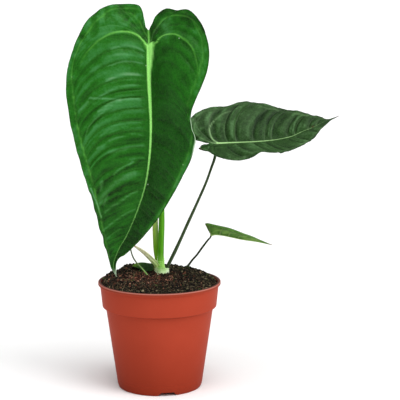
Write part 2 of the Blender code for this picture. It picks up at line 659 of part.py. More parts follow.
def make_pot(parts, cutters):
    inside = FOOT_RADIUS - WALL
    profile = [
        (0, FLOOR_TOP),
        (inside - 0.0010, FLOOR_TOP),
        (inside, FLOOR_TOP + 0.0010),
        (BODY_TOP_RADIUS - WALL, STEP_FOOT + 0.0006),
        (COLLAR_FOOT_RADIUS - WALL, COLLAR_FOOT + 0.0006),
        (COLLAR_TOP_RADIUS - WALL, POT_HEIGHT - 0.0008),
        (COLLAR_TOP_RADIUS - WALL + 0.0006, POT_HEIGHT),
        (RIM_RADIUS - 0.0006, POT_HEIGHT),
        (RIM_RADIUS, POT_HEIGHT - 0.0006),
        (RIM_RADIUS, POT_HEIGHT - LIP_DEPTH + 0.0005),
        (RIM_RADIUS - 0.0005, POT_HEIGHT - LIP_DEPTH),
        (COLLAR_TOP_RADIUS, POT_HEIGHT - LIP_DEPTH - 0.0003),
        (COLLAR_FOOT_RADIUS, COLLAR_FOOT),
        (BODY_TOP_RADIUS, STEP_FOOT),
        (FOOT_RADIUS, 0.0030),
        (FOOT_RADIUS - 0.0011, 0),
        (FOOT_RADIUS - FOOT_RING_WIDTH, 0),
        (FOOT_RADIUS - FOOT_RING_WIDTH - 0.0004, FLOOR_UNDERSIDE),
        (PAD_RADIUS + 0.0006, FLOOR_UNDERSIDE),
        (PAD_RADIUS, 0),
        (0, 0),
    ]
    pot = place(turned("pot", profile, POT_STEPS, parts), parts, "#B0452F", 0.42)
    for index in range(NOTCH_COUNT):
        angle = NOTCH_ANGLE + index * 2 * math.pi / NOTCH_COUNT
        notch = place(notch_cutter(f"notch_{index + 1}", angle), cutters)
        boolean(pot, notch)
        drain = place(drain_cutter(f"drain_{index + 1}", angle), cutters)
        boolean(pot, drain)
    return pot


def notch_cutter(name, angle):
    """A wedge, wider at its foot, that passes through the foot ring."""
    bpy.ops.mesh.primitive_cube_add(size=1)
    obj = bpy.context.object
    obj.name = name
    length = FOOT_RING_WIDTH + 0.0040
    slope = (NOTCH_FOOT_WIDTH - NOTCH_TOP_WIDTH) / NOTCH_HEIGHT
    depth = 0.0020
    for vertex in obj.data.vertices:
        top = vertex.co.z > 0
        width = NOTCH_TOP_WIDTH if top else NOTCH_FOOT_WIDTH + slope * depth
        vertex.co = (vertex.co.x * length, vertex.co.y * width, NOTCH_HEIGHT if top else -depth)
    middle = FOOT_RADIUS - FOOT_RING_WIDTH / 2
    obj.data.transform(Matrix.Rotation(angle, 4, "Z") @ Matrix.Translation((middle, 0, 0)))
    return hide(obj)


def drain_cutter(name, angle):
    """A round hole through the floor, behind each notch."""
    bpy.ops.mesh.primitive_cylinder_add(vertices=12, radius=DRAIN_RADIUS, depth=3 * FLOOR_TOP)
    obj = bpy.context.object
    obj.name = name
    centre = (DRAIN_CIRCLE * math.cos(angle), DRAIN_CIRCLE * math.sin(angle), FLOOR_TOP)
    obj.data.transform(Matrix.Translation(centre))
    return hide(obj)


def make_soil(parts):
    inside = FOOT_RADIUS - WALL - GAP
    rings = (1 - np.linspace(1, 0, SOIL_RINGS) ** SOIL_RING_CROWDING) * SOIL_EDGE_RADIUS
    profile = [(r, SOIL_EDGE) for r in rings]
    profile += [
        (COLLAR_FOOT_RADIUS - WALL - GAP, COLLAR_FOOT + 0.0006),
        (BODY_TOP_RADIUS - WALL - GAP, STEP_FOOT + 0.0008),
        (inside, FLOOR_TOP + 0.0012),
        (inside - 0.0012, FLOOR_TOP + GAP),
        (0, FLOOR_TOP + GAP),
    ]
    soil = place(turned("soil", profile, POT_STEPS, parts), parts, "#2B1A12", 0.95)
    for vertex in soil.data.vertices:
        if vertex.co.z > SOIL_EDGE - 0.0001:
            vertex.co.z = soil_height(vertex.co.x, vertex.co.y)
    return soil


def make_crown(parts):
    """The pale short stem: the trunk and the feet of two stalks as one body."""
    shares = np.linspace(0, 1, CROWN_STATIONS)
    stems = {name: curve_through(path, shares) for name, path in CROWN_STEMS.items()}
    trunk, *others = [tube(name, path, parts) for name, path in stems.items()]
    for other in others:
        boolean(trunk, other, "UNION")
    crown = as_plain_mesh(trunk, parts)
    crown.name = crown.data.name = "crown"
    for other in others:
        bpy.data.objects.remove(other)
    return place(crown, parts, "#C9D3A0", 0.5), stems


def sheath_places():
    """The sheath's grid: an arc across, P = path + W r sin(phi) - N r (1 - cos(phi))."""
    shares = np.linspace(0, 1, SHEATH_ROWS)
    path = curve_through(SHEATH_PATH, shares)
    tangents = unit(np.gradient(path, axis=0))
    out = np.array(SHEATH_OUT)
    wide = unit(np.cross(tangents, out))
    out = unit(np.cross(wide, tangents))
    half = np.interp(shares, np.linspace(0, 1, len(SHEATH_HALF_WIDTHS)), SHEATH_HALF_WIDTHS)
    angle = half[:, None] / SHEATH_CURL_RADIUS * np.linspace(-1, 1, SHEATH_COLUMNS + 1)[None]
    sideways = wide[:, None] * (SHEATH_CURL_RADIUS * np.sin(angle))[..., None]
    inward = out[:, None] * (SHEATH_CURL_RADIUS * (1 - np.cos(angle)))[..., None]
    return path[:, None] + sideways - inward


def make_sheath(parts):
    obj = sheet("cataphyll", sheath_places(), parts, SHEATH_OUT)
    place(obj, parts, "#C6BC86", 0.6)
    thicken(obj, SHEATH_THICKNESS)
    return obj


def main():
    for obj in list(bpy.data.objects):
        bpy.data.objects.remove(obj)
    parts = bpy.data.collections.new(OBJECT_NAME)
    cutters = bpy.data.collections.new("cutters")
    bpy.context.scene.collection.children.link(parts)
    bpy.context.scene.collection.children.link(cutters)

    make_pot(parts, cutters)
    soil = make_soil(parts)
    crown, crown_stems = make_crown(parts)
    make_sheath(parts)

    stalks = {
        "petiole_main": (PETIOLE_MAIN, LEAF_MAIN, crown),
        "furled_leaf": (FURLED_LEAF, None, crown),
        "petiole_right": (PETIOLE_RIGHT, LEAF_RIGHT, crown),
        "petiole_low_right": (PETIOLE_LOW_RIGHT, LEAF_LOW_RIGHT, soil),
        "petiole_left": (PETIOLE_LEFT, LEAF_LEFT, soil),
        "petiole_soil": (PETIOLE_SOIL, LEAF_SOIL, soil),
    }
    for name, (stalk, leaf, holder) in stalks.items():
        path = stalk_path(stalk, leaf)
        place(tube(name, path, parts), parts, stalk["color"], 0.45)
        boolean(holder, hide(tube(f"{name}_socket", path, cutters, GAP)))
    for name, path in crown_stems.items():
        boolean(soil, hide(tube(f"{name}_hole", path, cutters, GAP)))

    blade("leaf_main", LEAF_MAIN, parts)
    blade("leaf_right", LEAF_RIGHT, parts)
    blade("leaf_low_right", LEAF_LOW_RIGHT, parts)
    blade("leaf_left", LEAF_LEFT, parts)
    blade("leaf_soil", LEAF_SOIL, parts)
    for obj in parts.objects:
        obj.data.shade_smooth()


main()
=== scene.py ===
# Looks of the potted king anthurium: fine leaves, stalks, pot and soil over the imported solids.
# Lengths are metres. The plant faces -Y, and the pot's axis is Z.
import itertools
import math
from functools import partial
from types import SimpleNamespace

import bpy
import numpy as np
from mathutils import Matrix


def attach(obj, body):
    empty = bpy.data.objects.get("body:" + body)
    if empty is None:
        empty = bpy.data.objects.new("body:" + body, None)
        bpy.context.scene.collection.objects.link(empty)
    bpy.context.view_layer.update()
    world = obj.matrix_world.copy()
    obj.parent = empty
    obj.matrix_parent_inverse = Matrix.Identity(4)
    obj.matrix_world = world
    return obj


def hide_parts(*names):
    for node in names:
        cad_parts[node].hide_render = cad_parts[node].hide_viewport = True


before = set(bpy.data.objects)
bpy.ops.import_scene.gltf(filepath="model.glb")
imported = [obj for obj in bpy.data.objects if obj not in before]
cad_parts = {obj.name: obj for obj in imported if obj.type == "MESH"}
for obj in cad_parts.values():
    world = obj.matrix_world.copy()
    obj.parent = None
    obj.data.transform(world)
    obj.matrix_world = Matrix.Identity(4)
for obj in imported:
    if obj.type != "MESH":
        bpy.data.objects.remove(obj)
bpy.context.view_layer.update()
print("frame loaded")


def toLinear(hexColor):
    # sRGB hex to linear RGBA
    values = [int(hexColor[i : i + 2], 16) / 255 for i in (1, 3, 5)]
    return [v / 12.92 if v <= 0.04045 else ((v + 0.055) / 1.055) ** 2.4 for v in values] + [1]


def mm(*points):
    # lengths given in millimetres, as an array in metres
    return np.array(points, float) / 1000


def addNode(tree, kind, settings=None, links=None, out=0):
    # one node: capitalised names and numbers set its inputs, other names its own fields
    node = tree.nodes.new("ShaderNode" + kind)
    for key, value in (settings or {}).items():
        if key == "stops":
            ramp = node.color_ramp
            while len(ramp.elements) < len(value):
                ramp.elements.new(0.5)
            for element, (position, color) in zip(ramp.elements, value):
                element.position = position
                element.color = toLinear(color)
        elif isinstance(key, int) or key[0].isupper():
            node.inputs[key].default_value = toLinear(value) if isinstance(value, str) else value
        else:
            setattr(node, key, value)
    for key, socket in (links or {}).items():
        tree.links.new(socket, node.inputs[key])
    return node.outputs[out]


def startMaterial(name, color, roughness, **sockets):
    # the shader's constants go straight onto its own sockets; add puts a node into its tree
    made = bpy.data.materials.new(name)
    made.use_nodes = True
    surface = made.node_tree.nodes["Principled BSDF"]
    surface.inputs["Base Color"].default_value = toLinear(color)
    surface.inputs["Roughness"].default_value = roughness
    for socket, value in sockets.items():
        surface.inputs[socket.replace("_", " ")].default_value = value
    return made, surface, partial(addNode, made.node_tree)


def readPattern(add):
    # the place on the object, and the four channels of the piece's own "pattern" attribute
    place = add("TexCoord", out=3)
    pattern = add("Attribute", {"attribute_name": "pattern"})
    channels = add("SeparateColor", {}, {0: pattern}).node.outputs
    return place, [*channels, pattern.node.outputs["Alpha"]]


def linkSurface(surface, **sockets):
    # what the nodes work out goes into the shader
    for name, socket in sockets.items():
        surface.id_data.links.new(socket, surface.inputs[name.replace("_", " ")])


def addObject(name, data):
    # a mesh, lamp or camera as an object of the scene
    made = bpy.data.objects.new(name, data)
    bpy.context.scene.collection.objects.link(made)
    return made


def unit(vectors):
    return vectors / np.maximum(np.linalg.norm(vectors, axis=-1, keepdims=True), 1e-12)


def smooth(values):
    # 0 below 0, 1 above 1, and 3t^2 - 2t^3 between
    t = np.clip(values, 0, 1)
    return t * t * (3 - 2 * t)


def hump(distance, width):
    # 1 at no distance, and exp(-(distance / width)^2) to both sides
    return np.exp(-((distance / width) ** 2))


def readTable(table, at):
    # the values at these places of a table of (place, value)
    return np.interp(at, *zip(*table))


def circle(count):
    # points of a unit circle round Z
    turn = np.linspace(0, 2 * np.pi, count, endpoint=False)
    return np.stack([np.cos(turn), np.sin(turn), 0 * turn], -1)


def softNoise(points, grain, seed):
    # random values on a cubic lattice of side grain, blended between its corners; -1 to 1
    table = np.random.default_rng(seed).random((16, 16, 16)) * 2 - 1
    where = points / grain
    corner = np.floor(where).astype(int)
    t = smooth(where - corner)
    total = 0
    for step in itertools.product((0, 1), repeat=3):
        weight = np.prod(np.where(step, t, 1 - t), axis=-1)
        i, j, k = np.moveaxis((corner + step) % 16, -1, 0)
        total = total + weight * table[i, j, k]
    return total


def curveThrough(points, at):
    # a smooth cubic through the points, knots at their chord lengths, read at shares of its length
    points = np.array(points, float)
    steps = np.linalg.norm(np.diff(points[:, :3], axis=0), axis=1)
    knots = np.concatenate([[0], np.cumsum(steps)])
    slopes = np.gradient(points, knots, axis=0)
    fine = np.linspace(0, knots[-1], 1200)
    i = np.clip(np.searchsorted(knots, fine, "right") - 1, 0, len(knots) - 2)
    step = (knots[i + 1] - knots[i])[:, None]
    u = (fine[:, None] - knots[i][:, None]) / step
    path = (
        (1 + 2 * u) * (1 - u) ** 2 * points[i]
        + u * (1 - u) ** 2 * step * slopes[i]
        + u * u * (3 - 2 * u) * points[i + 1]
        + u * u * (u - 1) * step * slopes[i + 1]
    )
    steps = np.linalg.norm(np.diff(path[:, :3], axis=0), axis=1)
    length = np.concatenate([[0], np.cumsum(steps)])
    wanted = np.asarray(at) * length[-1]
    return np.stack([np.interp(wanted, length, column) for column in path.T], axis=-1)


def gridTriangles(index):
    # two triangles for each cell of a grid of point numbers, without those that have no area
    a, b, c, d = index[:-1, :-1], index[1:, :-1], index[1:, 1:], index[:-1, 1:]
    faces = np.concatenate([np.stack([a, b, c], -1), np.stack([a, c, d], -1)]).reshape(-1, 3)
    full = (faces[:, 0] != faces[:, 1]) & (faces[:, 1] != faces[:, 2]) & (faces[:, 2] != faces[:, 0])
    return faces[full]


def pointNormals(points, faces):
    # the sum of the area vectors of the faces round each point, made one long
    a, b, c = points[faces[:, 0]], points[faces[:, 1]], points[faces[:, 2]]
    area = np.cross(b - a, c - a)
    normals = np.zeros_like(points)
    for corner in range(3):
        np.add.at(normals, faces[:, corner], area)
    return unit(normals)


def skinOver(rings, start, end):
    # rings of points closed by two poles; the faces turn outward, so that the volume, the sum of
    # a . (b x c) over them, is more than 0
    rows, columns = rings.shape[:2]
    index = np.arange(rows * columns).reshape(rows, columns)
    poles = np.full((1, columns + 1), rows * columns)
    faces = gridTriangles(np.concatenate([poles, np.append(index, index[:, :1], axis=1), poles + 1]))
    points = np.concatenate([rings.reshape(-1, 3), [start, end]])
    a, b, c = np.moveaxis(points[faces], 1, 0)
    return points, faces if (a * np.cross(b, c)).sum() > 0 else faces[:, ::-1]


def rimFaces(faces, count):
    # the reversed copy of a sheet's faces for its far side, and the band that joins the two edges
    edges = np.concatenate([faces[:, [0, 1]], faces[:, [1, 2]], faces[:, [2, 0]]])
    codes = edges[:, 0] * count + edges[:, 1]
    rim = edges[~np.isin(codes, edges[:, 1] * count + edges[:, 0])]
    low = rim + count
    sides = np.concatenate([np.stack([rim[:, 1], rim[:, 0], low[:, 0]], -1),
                            np.stack([rim[:, 1], low[:, 0], low[:, 1]], -1)])
    return faces[:, ::-1] + count, sides


def addPiece(name, points, faces, materials, colors=None, slots=None, sharp=40, nodes=()):
    # puts arrays of points and triangles into one smooth mesh object that rides on the root body
    used = np.unique(faces)
    number = np.zeros(len(points), int)
    number[used] = np.arange(len(used))
    mesh = bpy.data.meshes.new(name)
    mesh.from_pydata(points[used], [], number[faces])
    for material in materials:
        mesh.materials.append(material)
    if slots is not None:
        mesh.polygons.foreach_set("material_index", slots.astype(np.int32))
    if colors is not None:
        if colors.shape[1] == 3:
            colors = np.insert(colors, 3, 1, axis=1)
        pattern = mesh.attributes.new("pattern", "FLOAT_COLOR", "POINT")
        pattern.data.foreach_set("color", colors[used].astype(np.float32).ravel())
    mesh.shade_smooth()
    mesh.set_sharp_from_angle(angle=math.radians(sharp))
    mesh.update()
    piece = addObject(name, mesh)
    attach(piece, "root")
    if nodes:
        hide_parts(*nodes)
    print(f"{name}: {len(faces)} triangles")
    return piece


# Blades

# along the chord and towards the leaf's base: the two control points of the vein curves,
# at the sinus, in the lobe, at the basal vein, four veins on and at the tip
mainBend = (
    (0.33, 0.15, 0.28, 0.46, 0.48),
    (0.00, 0.19, 0.375, 0.25, 0.28),
    (0.67, 0.39, 0.84, 0.84, 0.86),
    (0.00, 0.33, 0.53, 0.34, 0.35),
)
sideBend = (
    (0.33, 0.15, 0.28, 0.4, 0.45),
    (0.00, 0.19, 0.26, 0.2, 0.2),
    (0.67, 0.39, 0.84, 0.84, 0.86),
    (0.00, 0.33, 0.34, 0.27, 0.27),
)
foldedBend = (
    (0.33, 0.33, 0.33, 0.4, 0.45),
    (0.00, 0.00, 0.04, 0.14, 0.18),
    (0.67, 0.67, 0.7, 0.8, 0.86),
    (0.00, 0.00, 0.05, 0.18, 0.24),
)
# shares of one vein's gap at which the rows lie, crowded at the vein
veinOffsets = np.array([0, 0.035, 0.08, 0.15, 0.26, 0.42, 0.58, 0.74, 0.85, 0.92, 0.965])
# shares from midrib to margin, crowded at the midrib, the collective vein and the edge
acrossShares = np.concatenate([
    np.linspace(0, 0.05, 8, endpoint=False), np.linspace(0.05, 0.86, 26, endpoint=False),
    np.linspace(0.86, 0.97, 10, endpoint=False), np.linspace(0.97, 1, 4),
])


def veinRows(leaf, veins, shares):
    # each vein is a cubic curve from the midrib, or from the junction in the lobes, to the margin:
    # (1-u)^3 O + 3u(1-u)^2 C1 + 3u^2(1-u) C2 + u^3 E, with C1 and C2 bowed towards the base
    lobe = leaf["lobeVeins"]
    total = lobe + leaf["sideVeins"]
    junction = leaf["midrib"][0]
    # each side vein is moved by a share of its gap, so the gaps are uneven
    marks = np.arange(total + 1)
    moved = np.random.default_rng(leaf["seed"] + 5).random(total + 1) * 2 - 1
    moved = marks + leaf["uneven"] * moved * (marks > lobe + 1) * (marks < total - 1)
    veins = np.interp(veins, marks, moved)
    share = np.clip((veins - lobe) / leaf["sideVeins"], 0, 1)
    origin = curveThrough(leaf["midrib"], share)
    ahead = curveThrough(leaf["midrib"], np.clip(share + 0.02, 0, 1))
    behind = curveThrough(leaf["midrib"], np.clip(share - 0.02, 0, 1))
    fan = np.clip(veins / lobe, 0, 1)[:, None]
    base = unit(unit(leaf["sinus"] - junction) * (1 - fan) + unit(behind - ahead) * fan)
    marks = [0, 0.5 * lobe, lobe, lobe + 4, total]
    first, firstLift, second, secondLift = [np.interp(veins, marks, v)[:, None] for v in leaf["bend"]]
    start, stop, amount = leaf["straighten"]
    straight = 1 - amount * smooth((veins - start) / (stop - start))[:, None]
    firstLift, secondLift = firstLift * straight, secondLift * straight
    halves = []
    for side, name in enumerate(("left", "right")):
        margin = np.concatenate([[leaf["sinus"]], leaf[name], leaf["midrib"][-1:]])
        reach, spread = leaf["reach"][side], leaf["spread"][side]
        at = np.where(veins <= lobe, reach * veins / lobe, reach + (1 - reach) * share**spread)
        end = curveThrough(margin, at)
        chord = np.linalg.norm(end - origin, axis=1, keepdims=True)
        up = unit(np.cross(end - origin, base))
        up = up * np.sign(up @ leaf["face"])[:, None]
        bow = up * leaf["bow"][side] * chord * fan
        control = origin + (end - origin) * first + base * firstLift * chord + bow
        controlEnd = origin + (end - origin) * second + base * secondLift * chord + 0.8 * bow
        u = shares[None, :, None]
        halves.append(
            (1 - u) ** 3 * origin[:, None] + 3 * u * (1 - u) ** 2 * control[:, None]
            + 3 * u * u * (1 - u) * controlEnd[:, None] + u**3 * end[:, None]
        )
    return np.concatenate([halves[0][:, :0:-1], halves[1]], axis=1)


def lineOver(points, path):
    # distance from every point to the nearest of the path's points, and that one's share along it
    steps = np.linspace(0, 1, 150)
    spots = curveThrough(path, steps).astype(np.float32)
    away = np.linalg.norm(points.astype(np.float32)[:, :, None] - spots, axis=-1)
    return np.min(away, axis=-1), steps[np.argmin(away, axis=-1)]


def placesOn(grid, path):
    # the places of (vein number, share across) pairs on the grid, blended between its points
    path, base = np.array(path, float), grid.base
    across = np.concatenate([-acrossShares[:0:-1], acrossShares])
    row = np.interp(path[:, 0], grid.veins, np.arange(len(grid.veins)))
    column = np.interp(path[:, 1], across, np.arange(len(across)))
    i = np.minimum(row.astype(int), len(grid.veins) - 2)
    j = np.minimum(column.astype(int), len(across) - 2)
    a, b = (row - i)[:, None], (column - j)[:, None]
    return (base[i, j] * (1 - a) * (1 - b) + base[i + 1, j] * a * (1 - b)
            + base[i, j + 1] * (1 - a) * b + base[i + 1, j + 1] * a * b)


def bladeGrid(leaf):
    # the plain sheet: q is a point's vein number, s its share of the gap to the next vein, u its share
    # from midrib to margin, and the names in Away are distances
    grid = SimpleNamespace()
    grid.lobe, grid.total = leaf["lobeVeins"], leaf["lobeVeins"] + leaf["sideVeins"]
    grid.middle = len(acrossShares) - 1
    grid.veins = np.append((np.arange(grid.total)[:, None] + veinOffsets).ravel(), grid.total)
    grid.column = np.arange(-grid.middle, grid.middle + 1)[None]
    grid.rightSide = grid.column > 0
    grid.half = grid.rightSide.astype(int)  # 0 on the left and 1 on the right, to pick from pairs
    grid.q = grid.veins[:, None]
    grid.cell = np.minimum(np.floor(grid.q), grid.total - 1).astype(int)
    grid.s = grid.q - grid.cell
    grid.u = acrossShares[np.abs(grid.column)]
    grid.share = np.clip((grid.q - grid.lobe) / leaf["sideVeins"], 0, 1)

    base = veinRows(leaf, grid.veins, acrossShares)
    along = np.gradient(base, grid.veins, axis=0)
    normals = unit(np.cross(along, np.gradient(base, axis=1)))
    grid.base = base
    grid.normals = normals * np.where(normals @ leaf["face"] < 0, -1, 1)[..., None]
    grid.gap = np.linalg.norm(along, axis=-1)
    grid.ribAway = np.linalg.norm(base - base[:, [grid.middle]], axis=-1)
    grid.chord = np.where(grid.rightSide, grid.ribAway[:, [-1]], grid.ribAway[:, [0]])
    grid.marginAway = (1 - grid.u) * grid.chord
    grid.junctionAway = np.linalg.norm(base - leaf["midrib"][0], axis=-1)
    grid.tipAway = np.linalg.norm(base - leaf["midrib"][-1], axis=-1)
    return grid


def liftSheet(leaf, grid):
    # ribs: sin(pi s^1.5)^0.8 over each gap s between veins, so the crest lies near the next vein
    q, s, u = grid.q, grid.s, grid.u
    random = np.random.default_rng(leaf["seed"])
    change = 1 + leaf["ribChange"] * (random.random((grid.total + 1, 2)) * 2 - 1)
    left, right = [readTable(leaf["ribs"][k], grid.cell + 0.5) * change[grid.cell, k] for k in (0, 1)]
    grid.patches = softNoise(grid.base, leaf["patchSize"], leaf["seed"] + 2)
    grid.rib = np.where(grid.rightSide, right, left) * (1 + leaf["ribPatches"] * grid.patches)
    grid.nearMidrib = hump(u, leaf["fineReach"]) * smooth((q - grid.lobe) / 2) * leaf["fineRibs"]
    wave = np.sin(np.pi * s**leaf["crest"]) ** 0.8
    halfWave = np.abs(np.sin(2 * np.pi * s)) ** 0.9
    grid.swell = wave * (1 - grid.nearMidrib) + 0.75 * halfWave * grid.nearMidrib
    # the collective vein bows out between the side veins, and the ribs end at it
    inner = 1 - np.take(leaf["collectiveShare"], grid.half)
    inner = inner + leaf["scallop"] * (np.sin(np.pi * s) - 0.6) * smooth(q - 1)
    grid.mask = (smooth(u / leaf["clear"]) * smooth((inner + 0.02 - u) / 0.1) * smooth(q / 2)
                 * smooth((grid.total - q) / 4) * smooth(grid.junctionAway / 0.01))
    lanes = np.stack(np.broadcast_arrays(q / leaf["streakRibs"], grid.column / 13, 0.0), -1)
    grid.streaks = softNoise(lanes, 1.0, leaf["seed"] + 3) + 0.5 * softNoise(lanes * [2.3, 1.6, 1], 1.0, 9)
    lift = leaf["relief"] * (grid.swell * grid.rib - 0.55 + leaf["streakDepth"] * grid.streaks) * grid.mask
    grid.collective = (hump((u - inner) * grid.chord, leaf["collectiveWidth"])
                       * smooth(q / 2) * smooth(grid.tipAway / 0.02))
    lift = lift - leaf["collectiveDepth"] * grid.collective
    # waves beyond it, and small bumps all over
    grid.outside = smooth((u - inner) / (1 - inner)) * smooth(q / 2) * smooth((grid.total - q) / 3)
    lift = lift + leaf["edgeWave"] * grid.outside * np.sin(2 * np.pi * q * 0.37 + 2.1 * grid.rightSide)
    coarse, fine = leaf["bumpSizes"]
    grain = softNoise(grid.base, coarse, leaf["seed"]) + 0.6 * softNoise(grid.base, fine, leaf["seed"] + 1)
    grid.grain = np.clip(grain, -0.9, 0.9)
    calm = smooth(q - grid.lobe + 1) * smooth((inner - u) / 0.05) * smooth(grid.share * 4)
    bumpy = np.clip(u / 0.1, 0, 1) * smooth(grid.junctionAway / 0.012)
    grid.bumpy = bumpy * (1 - 0.6 * calm) * (1 + 0.6 * grid.outside)
    grid.lift = lift + leaf["bumps"] * grid.grain * grid.bumpy


def raiseVeins(leaf, grid):
    # over the lifted sheet: the round midrib, height * sqrt(1 - (distance / half width)^2), a knob
    # where the stalk joins, and the drawn veins
    grid.midribAway, grid.midribShare = lineOver(grid.base, leaf["midrib"])
    wider = np.where(grid.rightSide, readTable(leaf["midribRight"], grid.midribShare), 1)
    grid.halfWidth = readTable(leaf["midribHalf"], grid.midribShare) * wider
    grid.onMidrib = smooth((grid.q - grid.lobe + 1) * 2)
    grid.knob = hump(grid.junctionAway, leaf["knob"])
    ridge = np.sqrt(np.clip(1 - (grid.midribAway / grid.halfWidth) ** 2, 0, 1)) * grid.onMidrib
    slender = np.minimum(grid.halfWidth / leaf["midribHalf"][0][1], 1)
    raised = grid.lift + leaf["midribHeight"] * ridge * slender
    raised = raised + 0.5 * leaf["midribHeight"] * grid.knob
    grid.paleVein = np.zeros_like(raised)
    for widths, tones, height, path in leaf["drawnVeins"]:
        near, passed = lineOver(grid.base, placesOn(grid, path))
        width, tone = [first + (last - first) * passed for first, last in (widths, tones)]
        line = tone * hump(near, width)
        grid.paleVein = np.maximum(grid.paleVein, line)
        raised = raised + height * line
    grid.points = grid.base + grid.normals * raised[..., None]


def veinShares(leaf, grid):
    # how much of the side veins' and of the midrib's colour shows at each point
    s = grid.s
    faint = np.take(leaf["veinTones"], grid.half) * (1 + 0.5 * grid.share)
    faint = faint * np.clip(1 + 1.2 * grid.patches, 0.1, 2)
    veinAway = np.minimum(s, 1 - s) * grid.gap
    vein = faint * hump(veinAway, leaf["veinWidth"]) * (1 - 0.5 * grid.u) * smooth(grid.u / 0.04)
    fineAway = np.minimum(np.minimum(s, 1 - s), np.abs(s - 0.5)) * grid.gap
    vein = np.maximum(vein, 0.6 * faint * hump(fineAway, leaf["fineVeinWidth"]) * grid.nearMidrib)
    broken = np.take(leaf["collectiveTones"], grid.half) * np.clip(0.8 + 0.8 * grid.grain, 0.3, 1.6)
    vein = np.maximum(np.maximum(vein, broken * grid.collective), grid.paleVein)
    # on the right the midrib's tone fades more softly, a painted shade on its right flank
    blur = grid.halfWidth * np.where(grid.rightSide, leaf["midribBlur"], 0.3)
    midrib = smooth((grid.halfWidth * 1.1 - grid.midribAway) / blur) * grid.onMidrib
    midrib = midrib * readTable(leaf["midribTone"], grid.midribShare)
    midrib = np.maximum(np.maximum(midrib, 0.8 * grid.paleVein**4), smooth(grid.knob * 1.6 - 0.5))
    return vein, midrib


def skinShares(leaf, grid):
    # how light the skin is, painted light and shade included, and how much of the pale edge's colour shows
    # at each point
    q, mask = grid.q, grid.mask
    pale = smooth(1 - grid.tipAway / leaf["tipLength"])
    for tone, first, last in leaf["paleEdges"]:
        border = smooth(1.6 - grid.marginAway / leaf["paleEdgeWidth"]) * grid.rightSide
        pale = np.maximum(pale, tone * border * smooth((q - first) / 1.5) * smooth((last - q) / 1.5))
    for spot, size in leaf["spots"]:
        away = np.linalg.norm(grid.base - placesOn(grid, [spot])[0], axis=-1)
        pale = np.maximum(pale, 0.8 * hump(away, size))
    light = np.take(leaf["tones"], grid.half) - leaf["tipShade"] * smooth(grid.share / 0.8)
    # painted light and shade on the ribs: crests lighter, valleys darker, and darker still in the creases
    # just past each vein
    light = light + leaf["ribShade"] * (grid.swell - 0.5) * mask * np.minimum(grid.rib, 1.2)
    light = light - leaf["creaseTone"] * hump(grid.s * grid.gap, leaf["creaseWidth"]) * mask * grid.rib
    inLobe = smooth((grid.lobe - q) / 2)
    light = light + leaf["bandTone"] * grid.outside * (0.7 + 0.8 * grid.grain) + leaf["lobeTone"] * inLobe
    light = light + leaf["mottle"] * grid.grain * np.minimum(grid.bumpy, 1) * (1 + inLobe)
    # streaks along the ribs and patches: partly the skin's own tone and partly painted sheen
    streaks = grid.streaks * mask * (1 - 0.8 * inLobe) + 0.6 * grid.patches
    light = light + leaf["streakTone"] * streaks * np.where(grid.rightSide, leaf["rightPatches"], 1)
    # light bands are a painted sheen along the right margin
    for tone, first, last, inward in leaf["lightBands"]:
        light = light + (tone * hump(grid.marginAway / inward - 1, 1) * grid.rightSide
                         * smooth((q - first) / 2) * smooth((last - q) / 2))
    # sheens lighten or darken the tone along lines, and the brighter ones also take some pale colour; on
    # the main leaf they are painted highlights and painted shade on the ribs
    for tone, width, path in leaf["sheens"]:
        near = lineOver(grid.base, placesOn(grid, path))[0]
        light = light + tone * hump(near, width)
        pale = np.maximum(pale, leaf["sheenPale"] * (tone - 0.2) * hump(near, 0.7 * width))
    light = light * smooth(0.2 + grid.marginAway / leaf["edgeShadeWidth"])
    return np.clip(light, 0, 1), pale


def makeBlade(name, leaf):
    # the sheet of veins, lifted along its normals by ribs, midrib and small bumps, and thickened
    grid = bladeGrid(leaf)
    liftSheet(leaf, grid)
    raiseVeins(leaf, grid)
    colors = np.stack([*veinShares(leaf, grid), *skinShares(leaf, grid)], axis=-1).reshape(-1, 4)
    middle, flat = grid.middle, grid.points.reshape(-1, 3)
    index = np.arange(len(flat)).reshape(grid.points.shape[:2])
    index[0, :middle] = index[0, :middle:-1]  # the two lobes meet on the line to the sinus
    index[grid.veins <= grid.lobe, middle] = index[0, middle]
    index[-1] = index[-1, middle]
    faces = gridTriangles(index)
    if pointNormals(flat, faces)[index[len(index) // 2, middle // 2]] @ leaf["face"] < 0:
        faces = faces[:, ::-1]
    keel = np.sqrt(np.clip(1 - (grid.ribAway / leaf["keelWidth"]) ** 2, 0, 1))
    keel = keel * smooth((0.95 - grid.share) / 0.5)
    thinned = 0.55 + 0.45 * smooth(grid.marginAway / leaf["thinEdgeWidth"])
    thick = leaf["thickness"] * thinned + leaf["keel"] * keel
    under = (grid.base + grid.normals * (grid.lift - thick)[..., None]).reshape(-1, 3)
    low, sides = rimFaces(faces, len(flat))
    slots = np.repeat([0, 1, 0], [len(faces), len(low), len(sides)])
    return addPiece(name, np.concatenate([flat, under]), np.concatenate([faces, low, sides]),
                    bladeMaterials(leaf), np.concatenate([colors, colors]), slots, 50, [leaf["node"]])


